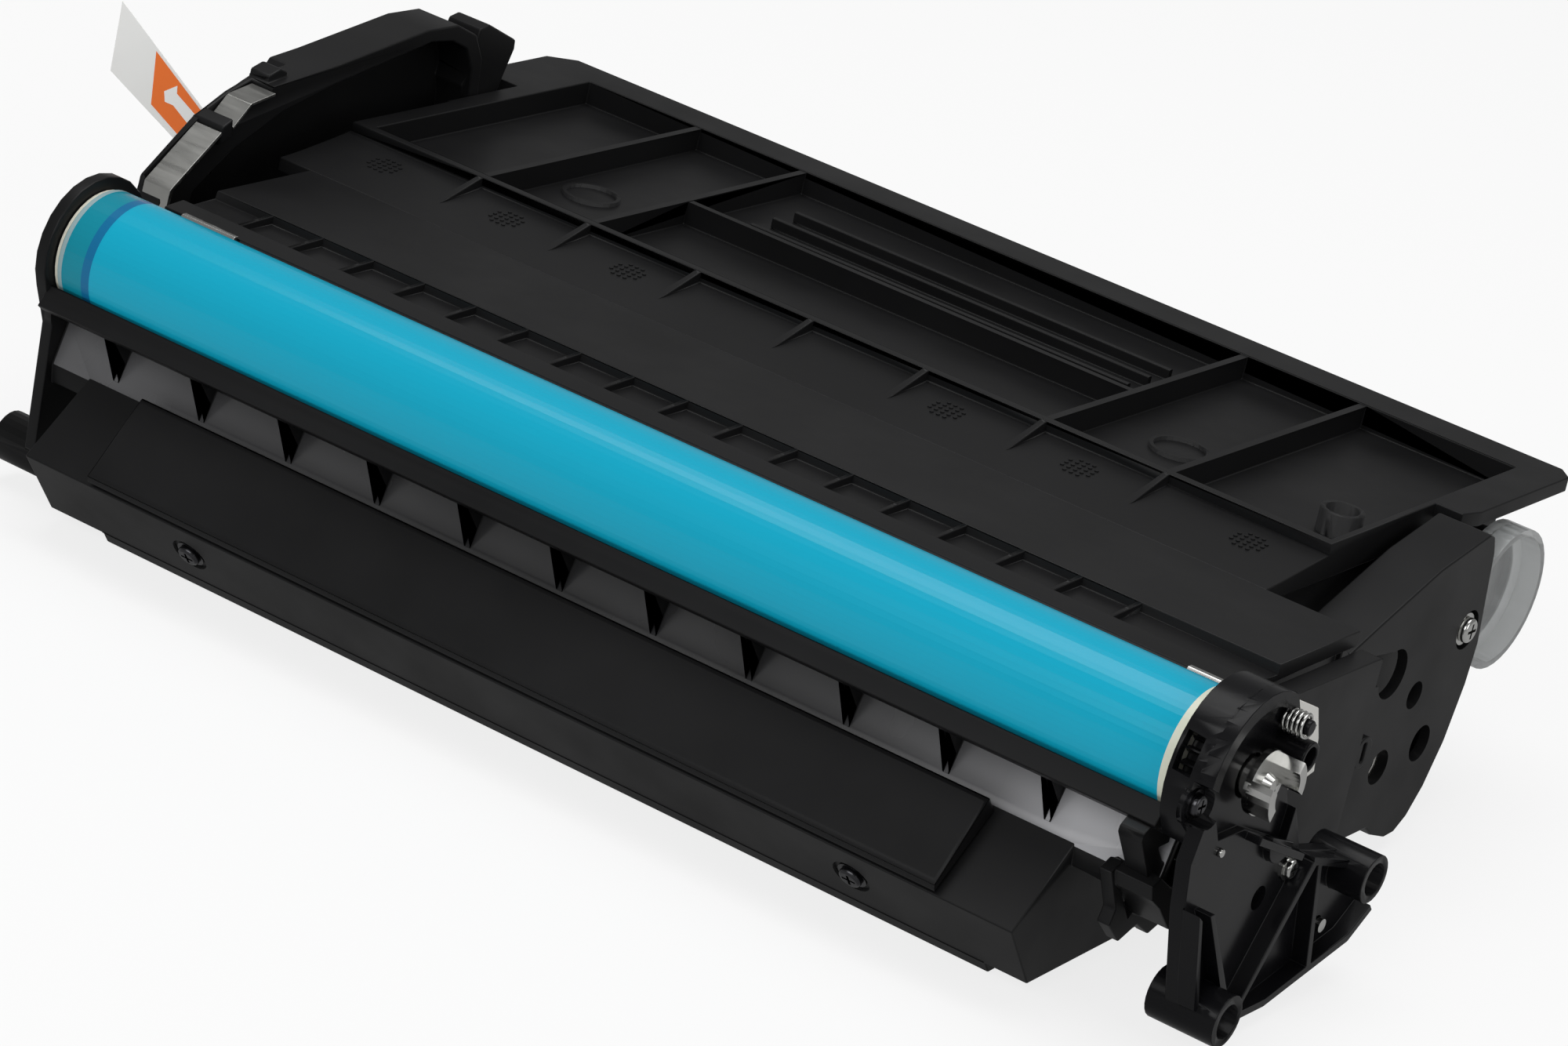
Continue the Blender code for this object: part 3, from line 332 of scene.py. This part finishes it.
def merged_copy(node):
    """A copy of a solid's mesh with its doubled points merged."""
    only(frame["nodes"][node])
    bpy.ops.object.duplicate()
    piece = bpy.context.object
    piece.parent = None
    for key in list(piece.keys()):
        del piece[key]
    edit_all(piece)
    bpy.ops.mesh.remove_doubles(threshold=MERGE_DISTANCE)
    bpy.ops.object.mode_set(mode="OBJECT")
    return piece


def moulding(node, width, made, shortest=2.5, shape=None):
    """A moulded piece with its facets merged and its edges rounded, in place of its solid."""
    piece = rounded(shape or merged_copy(node), width, shortest)
    settle(piece, node + "_moulding", made, BODY_OF[node])
    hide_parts(node)
    return piece


def cylinder(radius, depth, place, direction=(0, 0, 1), sides=24):
    nothing_selected()
    turn = Vector(direction).to_track_quat("Z", "Y").to_euler()
    bpy.ops.mesh.primitive_cylinder_add(vertices=sides, radius=radius * MM, depth=depth * MM,
                                        location=place, rotation=turn)
    return bpy.context.object


def box(low, high):
    nothing_selected()
    bpy.ops.mesh.primitive_cube_add(size=1.0, location=(low + high) / 2)
    piece = bpy.context.object
    piece.scale = high - low
    bpy.ops.object.transform_apply(location=False, rotation=False, scale=True)
    return piece


def faces_outward(piece):
    edit_all(piece)
    bpy.ops.mesh.normals_make_consistent(inside=False)
    bpy.ops.object.mode_set(mode="OBJECT")
    return piece


def arc(centre, radius, start, end, steps):
    """Points on an arc, with angles in degrees from +Y towards +Z."""
    angles = [math.radians(start + (end - start) * step / steps) for step in range(steps + 1)]
    return [(centre[0] + radius * math.cos(angle), centre[1] + radius * math.sin(angle)) for angle in angles]


def drawn(outline, start, end):
    """A flat (y, z) outline from the drum's axis, drawn out along X."""
    nothing_selected()
    bpy.ops.mesh.primitive_circle_add(vertices=len(outline), radius=0.01, fill_type="NGON")
    piece = bpy.context.object
    for vertex, (y, z) in zip(piece.data.vertices, outline):
        vertex.co = from_axis(start, y, z)
    edit_all(piece)
    bpy.ops.mesh.extrude_region_move(TRANSFORM_OT_translate={"value": ((end - start) * MM, 0, 0)})
    return faces_outward(piece)


def round_bar(centre, radius, start, end, sides=28):
    """A round bar along X."""
    bar = cylinder(radius, end - start, from_axis((start + end) / 2, *centre), (1, 0, 0), sides)
    bpy.ops.object.transform_apply(location=True, rotation=True, scale=True)
    return bar


def combined(piece, tools, operation):
    for tool in tools:
        step = piece.modifiers.new("step", "BOOLEAN")
        step.operation = operation
        step.object = tool
        only(piece)
        bpy.ops.object.modifier_apply(modifier="step")
        bpy.data.objects.remove(tool)
    return piece


def carve(piece, *tools):
    """Cuts the tools' shapes out of a piece and removes the tools."""
    return combined(piece, tools, "DIFFERENCE")


def unite(piece, *tools):
    """Adds the tools' shapes to a piece as one body."""
    return combined(piece, tools, "UNION")


def rounded(piece, width, shortest=0.8):
    """A piece with merged facets, rounded edges and even shading."""
    edit_all(piece)
    bpy.ops.mesh.remove_doubles(threshold=MERGE_DISTANCE)
    bpy.ops.mesh.dissolve_limited(angle_limit=math.radians(1.0))
    bpy.ops.object.mode_set(mode="OBJECT")
    soft_edges(piece, width * MM, shortest * MM)
    apply_all(piece)
    even_shading(piece)
    return piece


def joined(pieces):
    nothing_selected()
    for piece in pieces:
        piece.select_set(True)
    bpy.context.view_layer.objects.active = pieces[0]
    bpy.ops.object.join()
    return pieces[0]


def cross_screw(name, place, direction, radius, height, body, made):
    """A pan-head screw with a cross recess and a flange under its head."""
    head = cylinder(radius, height, (0, 0, height / 2 * MM), sides=32)
    bpy.ops.object.transform_apply(location=True, rotation=True, scale=True)
    soft_edges(head, radius * 0.28 * MM, shortest=0.0, angle=60.0, segments=4)
    apply_all(head)
    reach, half_width = radius * 0.62, radius * 0.12
    bottom, past_top = height * 0.35, height * 2
    for turn in (0, 90):
        recess = box(Vector((-reach, -half_width, bottom)) * MM, Vector((reach, half_width, past_top)) * MM)
        recess.rotation_euler.z = math.radians(turn)
        bpy.context.view_layer.update()
        carve(head, recess)
    collar_height = height * 0.22
    collar = cylinder(radius * 1.3, collar_height, (0, 0, collar_height / 2 * MM), sides=32)
    screw = joined([head, collar])
    even_shading(screw, 40.0)
    screw.rotation_mode = "QUATERNION"
    screw.rotation_quaternion = Vector(direction).to_track_quat("Z", "Y")
    screw.location = place
    return settle(screw, name, made, body)


def coil(name, start, end, radius, wire, turns, body):
    """A coil spring of round wire between two places."""
    nothing_selected()
    line = end - start
    bpy.ops.mesh.primitive_circle_add(vertices=8, radius=wire / 2 * MM, fill_type="NOTHING",
                                      location=(radius * MM, 0, 0), rotation=(math.pi / 2, 0, 0))
    spring = bpy.context.object
    bpy.ops.object.transform_apply(location=True, rotation=True, scale=True)
    screw = spring.modifiers.new("wind", "SCREW")
    screw.axis = "Z"
    screw.screw_offset = line.length / turns
    screw.iterations = turns
    screw.steps = 20
    screw.render_steps = 20
    screw.use_merge_vertices = True
    screw.merge_threshold = 0.001 * MM
    apply_all(spring)
    edit_all(spring)
    bpy.ops.mesh.fill_holes(sides=8)
    faces_outward(spring)
    bpy.ops.object.shade_smooth()
    spring.rotation_mode = "QUATERNION"
    spring.rotation_quaternion = line.to_track_quat("Z", "Y")
    spring.location = start
    return settle(spring, name, FINISHES["bright_steel"], body)


# The moulded housings


def drum_frame_shape():
    """The drum frame with short gussets under its front bar, a hook plate, a clip and blocks."""
    below_gussets = [(-9.7, -11.87), (-5.42, -17.4), (-6.87, -21.95), (-13.0, -21.0), (-12.9, -10.52)]
    piece = carve(merged_copy("drum_frame"), drawn(below_gussets, -112.0, 105.0))
    hook_plate = [(-9.5, -20.0), (5.0, -26.0), (10.0, -29.0), (13.4, -36.3), (6.9, -38.3), (1.8, -35.1),
                  (-3.7, -36.9), (-8.7, -32.5), (-7.8, -29.7), (-12.8, -21.3)]
    plate_hole = [(-9.2, -23.6), (2.0, -29.0), (-2.1, -32.8)]
    plate = carve(drawn(hook_plate, 117.8, 120.4), drawn(plate_hole, 117.0, 121.0))
    clip = [(-15.6, -10.8), (-12.8, -9.6), (-5.9, -12.4), (-5.7, -15.1), (-8.9, -15.1), (-2.1, -23.2),
            (-6.5, -25.0), (-15.9, -12.5)]
    blocks = [(-11.7, -21.0), (-9.1, -19.9), (-2.5, -24.2), (2.7, -28.7), (12.4, -33.6), (6.5, -35.4),
              (-1.8, -31.6), (-6.7, -26.5), (-10.4, -24.0)]
    return unite(piece, plate, drawn(clip, 121.2, 126.0), drawn(blocks, 119.8, 128.0))


FRONT_SCREW = (-13.6, -2.8)
FRONT_SCREW_SEAT_X = 132.5


def end_plate_shape():
    """The end plate with the recess inside its ring, a sunk screw seat, a round hole and two ledges."""
    past_plate = 137.0
    stub = round_bar((5.0, 8.6), 3.3, 136.21, 143.0)
    piece = carve(merged_copy("drum_end_plate"), stub)
    recess = arc((0, 0), 13.0, 64, 190, 14) + [(-8.6, -9.4), (0.6, -9.6), (17.5, -16.4), (19.0, -2.0)]
    carve(piece, drawn(recess, 134.5, past_plate))
    carve(piece, round_bar((12.5, -25.8), 2.3, 132.0, past_plate))
    unite(piece, round_bar(FRONT_SCREW, 3.9, 131.5, 134.0))
    notch = arc(FRONT_SCREW, 3.3, -110, 70, 10) + [(-20.0, 4.0), (-20.0, -7.0)]
    carve(piece, drawn(notch, FRONT_SCREW_SEAT_X, past_plate))
    shelf = [(1.6, -10.3), (20.1, -18.1), (19.6, -19.3), (1.2, -11.6)]
    half_disc = arc((13.6, -14.4), 4.4, -200, -20, 10)
    return unite(piece, drawn(shelf, 136.0, 139.2), drawn(half_disc, 136.0, 137.6))


def left_cover_shape():
    """The left cover as a slender shell, lower at its outer wall's front, with the seat of the contacts."""
    outline = [(24.6, 2.6), (25.4, 6.9), (38.3, 17.0), (47.0, 21.0), (54.0, 23.0), (74.0, 25.0),
               (102.0, 28.8), (112.0, 28.6), (119.0, 25.6), (122.5, 20.0), (124.0, 8.4), (130.0, 7.8),
               (136.0, -12.0), (118.0, -34.0), (70.0, -38.0), (44.0, -30.0), (29.0, -18.0)]
    piece = drawn(outline, -142.0, -131.0)
    before_outer_wall = [(10.0, -25.0), (28.9, -25.0), (31.0, 4.2), (44.1, 14.5), (58.2, 20.4), (64.0, 22.4),
                         (70.0, 30.0), (10.0, 30.0)]
    carve(piece, drawn(before_outer_wall, -143.0, -137.5))
    hollow = [(34.0, 4.0), (45.0, 11.6), (58.6, 17.4), (74.4, 21.0), (104.0, 25.9), (111.0, 25.2),
              (116.4, 22.9), (119.4, 18.0), (121.0, 6.0), (127.6, 5.0), (132.6, -11.4), (116.6, -31.2),
              (70.4, -35.0), (45.4, -27.4), (33.0, -16.0)]
    carve(piece, drawn(hollow, -139.6, -130.0))
    contact_seat = [(25.0, 4.4), (38.6, 15.1), (41.6, 16.0), (46.3, 20.2), (53.6, 21.3), (53.6, 30.0),
                    (24.0, 20.0)]
    carve(piece, drawn(contact_seat, -136.3, -129.0))
    tab_slot = [(49.3, 2.2), (50.7, 2.2), (50.7, 13.8), (49.3, 13.8)]
    carve(piece, drawn(tab_slot, -143.0, -139.0))
    hook = [(119.0, 14.0), (122.0, 26.0), (125.0, 26.6), (135.2, 22.0), (135.4, 20.0), (131.6, 10.0),
            (124.0, 4.0)]
    divider = [(38.0, 13.6), (38.3, 17.3), (41.2, 18.6), (41.6, 15.0)]
    clip = [(54.4, 21.0), (54.6, 24.6), (58.0, 25.6), (60.0, 24.8), (60.0, 21.0)]
    return unite(piece, drawn(hook, -141.0, -132.4), drawn(divider, -137.0, -129.6),
                 drawn(clip, -138.0, -133.0))


def gear_cover_shape():
    """The gear cover with its rounded lower tip, keyhole, round holes and stepped side."""
    outline = [(15.2, 4.2), (62.0, 4.2), (70.0, -1.6), (79.4, 1.8), (99.9, 8.7), (117.6, 12.2),
               (119.7, 11.2), (121.0, 8.4), (124.6, -11.6), (123.9, -20.0), (121.2, -31.0), (117.2, -39.6),
               (113.2, -44.8), (109.4, -47.2), (105.7, -47.4), (99.6, -45.4), (96.6, -43.2), (82.0, -43.2),
               (58.0, -37.4), (30.0, -29.0), (14.6, -16.0), (13.6, -3.0)]
    hollow = [(8.0, 2.2), (60.8, 2.2), (69.6, -3.9), (79.8, -0.4), (100.4, 6.4), (116.6, 9.6), (118.2, 8.2),
              (122.0, -11.8), (121.4, -19.4), (118.8, -30.2), (115.0, -38.2), (111.6, -42.8), (106.6, -45.0),
              (97.4, -41.0), (82.2, -41.0), (58.8, -35.3), (31.8, -27.0), (8.0, -12.0)]
    piece = carve(drawn(outline, 103.6, 115.2), drawn(hollow, 103.0, 113.1))
    carve(piece, box(from_axis(103.0, 5.0, -60.0), from_axis(109.7, 59.0, 20.0)))
    past_side = 116.5
    round_holes = (((102.2, -17.1), 2.8), ((110.2, -28.9), 3.7), ((94.7, -30.1), 3.5),
                   (middle_of("developer_sleeve"), 2.7))
    for centre, radius in round_holes:
        carve(piece, round_bar(centre, radius, 112.0, past_side))
    keyhole = arc((90.4, -10.1), 5.0, 113, -166, 20)
    keyhole += [(80.8, -11.0), (78.9, -8.9), (79.0, -4.7), (80.4, -4.2)]
    carve(piece, drawn(keyhole, 112.0, past_side))
    screw_place = middle_of("gear_cover_screw")
    carve(piece, round_bar(screw_place, 4.0, 113.6, past_side), round_bar(screw_place, 1.6, 110.0, 115.0))
    side_step = [(5.0, 8.0), (66.4, 8.0), (66.2, -21.0), (78.0, -35.4), (84.0, -50.0), (5.0, -50.0)]
    return carve(piece, drawn(side_step, 114.1, past_side))


def housings():
    """The moulded shells, each with its own edge radius."""
    black = FINISHES["body_plastic"]
    for node, width in (("hopper_lid", 0.28), ("developer_frame", 0.22), ("bin_cover", 0.7),
                        ("bearing_plate_right", 0.3), ("hopper_tub", 0.7)):
        moulding(node, width, black)
    moulding("gear_cover", 0.4, black, 1.6, gear_cover_shape())
    moulding("left_cover", 0.4, black, 1.6, left_cover_shape())
    moulding("drum_end_plate", 0.16, FINISHES["gloss_plastic"], 1.2, end_plate_shape())
    frame_piece = moulding("drum_frame", 0.3, black, 2.0, drum_frame_shape())
    # The wall under the front bar takes the finish with the painted reflection.
    paint_neck_wall_reflection(frame_piece)


NECK_WALL_NORMAL = Vector((0.0, -0.952, 0.306))
NECK_WALL_Z = (-22.3, -14.2)
NECK_WALL_MATCH = 0.985


def paint_neck_wall_reflection(frame_piece):
    """The smooth wall under the front bar has its own finish: real gloss, with a painted reflection in its
    colour.
    """
    frame_piece.data.materials.append(NECK_PAINTED_REFLECTION)
    low, high = [from_axis(0, 0, z).z for z in NECK_WALL_Z]
    for face in frame_piece.data.polygons:
        if face.normal.dot(NECK_WALL_NORMAL) > NECK_WALL_MATCH and low < face.center.z < high:
            face.material_index = 1


# Fittings at the right end


TO_THE_RIGHT = (1, 0, 0)


def right_end_fittings():
    """The tube, post, spring, screws and pin on the end plate, and the roller's pale bearing."""
    gloss = FINISHES["gloss_plastic"]
    steel = FINISHES["bright_steel"]
    tube_place = (9.5, 3.3)
    tube = carve(round_bar(tube_place, 2.9, 134.2, 140.4), round_bar(tube_place, 2.0, 135.0, 141.0))
    settle(rounded(tube, 0.25, 0.1), "end_plate_tube", gloss, "drum_unit")
    post_place = (8.0, 9.0)
    post = round_bar(post_place, 1.4, 134.2, 140.0)
    settle(rounded(post, 0.3, 0.1), "end_plate_post", gloss, "drum_unit")
    coil("end_plate_spring", from_axis(134.9, *post_place), from_axis(139.4, *post_place),
         radius=2.1, wire=0.62, turns=5, body="drum_unit")
    cross_screw("end_plate_screw_low", from_axis(136.2, 20.6, -22.0), TO_THE_RIGHT,
                radius=1.8, height=1.5, body="drum_unit", made=steel)
    cross_screw("end_plate_screw_front", from_axis(FRONT_SCREW_SEAT_X, *FRONT_SCREW), TO_THE_RIGHT,
                radius=2.1, height=1.6, body="drum_unit", made=DARK_STEEL)
    pin = round_bar((-7.2, -11.9), 0.8, 136.1, 137.0)
    settle(rounded(pin, 0.2, 0.1), "end_plate_pin", steel, "drum_unit")
    pale = [(24.5, -10.5), (36.0, -13.5), (41.0, -12.5), (39.3, -5.6), (36.1, 1.0), (28.0, 4.4), (25.0, 4.2)]
    settle(rounded(drawn(pale, 126.3, 127.4), 0.2), "roller_bearing_face", FINISHES["gear_plastic"],
           "developer_unit")


def bin_screws():
    """The dark screws sunk in the bin's front wall."""
    outward = Vector((0.0, -0.777, -0.63))
    recess_depth = 1.6
    for side, x in (("left", -78.0), ("right", 74.0)):
        seat = from_axis(x, -17.7, -42.0) - outward * recess_depth * MM
        cross_screw(f"bin_screw_{side}", seat, outward,
                    radius=2.3, height=1.4, body="drum_unit", made=DARK_STEEL)


def gear_cover_fittings():
    """The cover's screw with its cross recess, and the post with a slot."""
    low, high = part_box("gear_cover_screw")
    head_height = 1.9
    place = Vector((high.x - head_height * MM, (low.y + high.y) / 2, (low.z + high.z) / 2))
    screw = cross_screw("gear_cover_screw_head", place, TO_THE_RIGHT,
                        radius=2.5, height=head_height, body="developer_unit", made=FINISHES["bright_steel"])
    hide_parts("gear_cover_screw")
    post = round_bar((80.6, -22.6), 3.2, 114.6, 117.9)
    post_slot = [(80.0, -24.6), (81.2, -24.6), (81.2, -20.6), (80.0, -20.6)]
    carve(post, drawn(post_slot, 117.0, 119.0))
    settle(rounded(post, 0.3, 0.1), "gear_cover_post", FINISHES["body_plastic"], "developer_unit")


def roller_blade_ends():
    """The bright ends of the doctor blade's bracket, which show beside the frame's lip."""
    for side, start, end in (("left", -116.4, -103.2), ("right", 112.2, 121.1)):
        strip = [(12.4, 4.7), (12.3, 7.4), (13.0, 8.1), (14.1, 8.1), (14.1, 4.7)]
        settle(rounded(drawn(strip, start, end), 0.15), f"blade_bracket_end_{side}",
               FINISHES["bright_steel"], "developer_unit")


# Fittings at the left end


def contact_plates():
    """The two bent contact plates on the left cover."""
    front = [(24.6, 0.8), (25.0, 6.2), (25.5, 6.7), (37.8, 16.4), (38.2, 15.8), (26.0, 6.0), (25.3, 0.8)]
    rear = [(41.6, 16.7), (45.9, 20.8), (46.4, 21.1), (53.3, 22.2), (53.4, 21.6), (46.5, 20.5), (42.0, 16.3)]
    for node, outline, start, end in (("contact_plate_front", front, -136.0, -129.4),
                                      ("contact_plate_rear", rear, -136.0, -129.8)):
        plate = rounded(drawn(outline, start, end), 0.12, 0.3)
        settle(plate, node + "_bent", FINISHES["sheet_steel"], "developer_unit")
        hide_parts(node)


def dress_the_solids():
    """Every solid takes its own finish, also one that a new piece replaces."""
    for part in frame["record"]["subparts"]:
        node = frame["nodes"][part["node"]]
        wear(node, FINISHES[part["material_slot"]])


# Marks on the deck, and the pull tab


def deck_dot_marks():
    """The rings of raised dots along the deck's slope."""
    middles = (-115.0, -84.0, -54.0, 21.5, 51.5, 88.7)
    row_y, row_z = 73.0, 9.52
    slope_rise, slope_run = 1.8, 16.6
    slope = math.atan2(slope_rise, slope_run)
    upright = (0, -math.sin(slope), math.cos(slope))
    pitch = 1.45
    dots = []
    for x in middles:
        for column in range(-2, 3):
            for row in range(-2, 3):
                if abs(column) == 2 and abs(row) == 2:
                    continue
                climb = row * pitch * math.tan(slope)
                place = from_axis(x + column * pitch, row_y + row * pitch, row_z + climb)
                dots.append(cylinder(0.42, 0.35, place, upright, sides=10))
    marks = joined(dots)
    settle(marks, "deck_dot_marks", FINISHES["body_plastic"], "developer_unit")


TAB_Y = 50.0


def flat_sheet(outline, lift, thickness):
    """A thin sheet in the pull tab's plane, from an (x, z) outline."""
    nothing_selected()
    bpy.ops.mesh.primitive_circle_add(vertices=len(outline), radius=0.01, fill_type="NGON")
    sheet = bpy.context.object
    for vertex, (x, z) in zip(sheet.data.vertices, outline):
        vertex.co = from_axis(x, TAB_Y - lift, z)
    thick = sheet.modifiers.new("sheet", "SOLIDIFY")
    thick.thickness = thickness * MM
    thick.offset = 0.0
    apply_all(sheet)
    return faces_outward(sheet)


def pull_tab():
    """The film tab that leaves the left cover's slot, with a plain colour field and an arrow."""
    film_outline = [(-141.0, 2.3), (-168.4, 14.0), (-168.4, 28.6), (-141.0, 12.6)]
    film = flat_sheet(film_outline, lift=0.0, thickness=0.16)
    settle(film, "pull_tab_film", FINISHES["tab_film"], "developer_unit")
    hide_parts("seal_tab")
    root_x = -142.2
    layer = 0.04
    field = [(root_x, 3.6), (-149.0, 7.2), (-156.9, 10.9), (-157.9, 21.7), (root_x, 12.6)]
    settle(flat_sheet(field, 0.12, layer), "tab_colour_field", TAB_ORANGE, "developer_unit")
    arrow = [(-154.2, 14.6), (-151.2, 16.8), (-151.0, 15.2), (root_x, 11.0), (root_x, 7.6), (-151.4, 12.6),
             (-153.6, 12.6)]
    settle(flat_sheet(arrow, 0.18, layer), "tab_arrow", TAB_WHITE, "developer_unit")


# Setting


def floor_finish():
    """Matt white that glows for the camera, and less so in reflections."""
    made, matt = finish("pale_floor", (0.86, 0.86, 0.86), 0.9, specular=0.1)
    nodes, links = made.node_tree.nodes, made.node_tree.links
    glow = nodes.new("ShaderNodeEmission")
    glow.inputs["Color"].default_value = (1, 1, 1, 1)
    path = nodes.new("ShaderNodeLightPath")
    strength = spread(made, path.outputs["Is Glossy Ray"], low=1.0, high=0.32, start=0.0, end=1.0)
    links.new(strength, glow.inputs["Strength"])
    blend = nodes.new("ShaderNodeMixShader")
    links.new(seen_directly(made.node_tree, share=0.8), blend.inputs["Fac"])
    links.new(matt.outputs["BSDF"], blend.inputs[1])
    links.new(glow.outputs["Emission"], blend.inputs[2])
    links.new(blend.outputs["Shader"], nodes["Material Output"].inputs["Surface"])
    return made


def pale_floor():
    nothing_selected()
    bpy.ops.mesh.primitive_plane_add(size=12.0, location=(0, 0, -0.2 * MM))
    ground = bpy.context.object
    ground.name = "floor"
    wear(ground, floor_finish())


def background():
    """A white backdrop for the camera and a grey room for everything else."""
    world = bpy.data.worlds.new("studio")
    bpy.context.scene.world = world
    world.use_nodes = True
    nodes, links = world.node_tree.nodes, world.node_tree.links
    room = nodes["Background"]
    room.inputs["Color"].default_value = (0.80, 0.80, 0.80, 1)
    room.inputs["Strength"].default_value = 0.30
    pale = nodes.new("ShaderNodeBackground")
    pale.inputs["Color"].default_value = (1, 1, 1, 1)
    pale.inputs["Strength"].default_value = 1.0
    blend = nodes.new("ShaderNodeMixShader")
    path = nodes.new("ShaderNodeLightPath")
    links.new(path.outputs["Is Camera Ray"], blend.inputs["Fac"])
    links.new(room.outputs["Background"], blend.inputs[1])
    links.new(pale.outputs["Background"], blend.inputs[2])
    links.new(blend.outputs["Shader"], nodes["World Output"].inputs["Surface"])


def seen_directly(tree, share):
    """The share for camera, glossy and transmission rays, and none for the light that a surface gives."""
    path = tree.nodes.new("ShaderNodeLightPath")
    total = path.outputs["Is Camera Ray"]
    for ray in ("Is Glossy Ray", "Is Transmission Ray"):
        most = tree.nodes.new("ShaderNodeMath")
        most.operation = "MAXIMUM"
        tree.links.new(total, most.inputs[0])
        tree.links.new(path.outputs[ray], most.inputs[1])
        total = most.outputs[0]
    scaled = tree.nodes.new("ShaderNodeMath")
    scaled.operation = "MULTIPLY"
    scaled.inputs[1].default_value = share
    tree.links.new(total, scaled.inputs[0])
    return scaled.outputs[0]


def lamp(name, place, aim, size, power):
    light = bpy.data.lights.new(name, "AREA")
    light.shape = "RECTANGLE"
    light.size, light.size_y = size
    light.energy = power
    item = bpy.data.objects.new(name, light)
    bpy.context.scene.collection.objects.link(item)
    item.location = place
    item.rotation_euler = (Vector(aim) - Vector(place)).to_track_quat("-Z", "Y").to_euler()


def studio_lamps():
    lamp("overhead_softbox", (-0.1, 0.15, 1.5), (0, 0, 0), (1.6, 1.0), 15.0)
    lamp("front_softbox", (0.1, -1.5, 0.9), (0, 0, 0), (1.4, 0.8), 10.0)
    lamp("right_softbox", (1.5, -0.2, 0.7), (0, 0, 0), (0.9, 0.9), 4.0)


def photograph_camera():
    data = bpy.data.cameras.new("photograph_camera")
    data.sensor_width = 36.0
    data.lens = CAMERA_LENS
    data.clip_start = 0.05
    data.clip_end = 50.0
    item = bpy.data.objects.new("photograph_camera", data)
    bpy.context.scene.collection.objects.link(item)
    item.location = CAMERA_PLACE
    item.rotation_euler = [math.radians(angle) for angle in CAMERA_TURN]
    bpy.context.scene.camera = item


photograph_camera()
dress_the_solids()
housings()
right_end_fittings()
bin_screws()
gear_cover_fittings()
roller_blade_ends()
contact_plates()
deck_dot_marks()
pull_tab()
pale_floor()
background()
studio_lamps()
bpy.context.scene.view_settings.view_transform = "Standard"
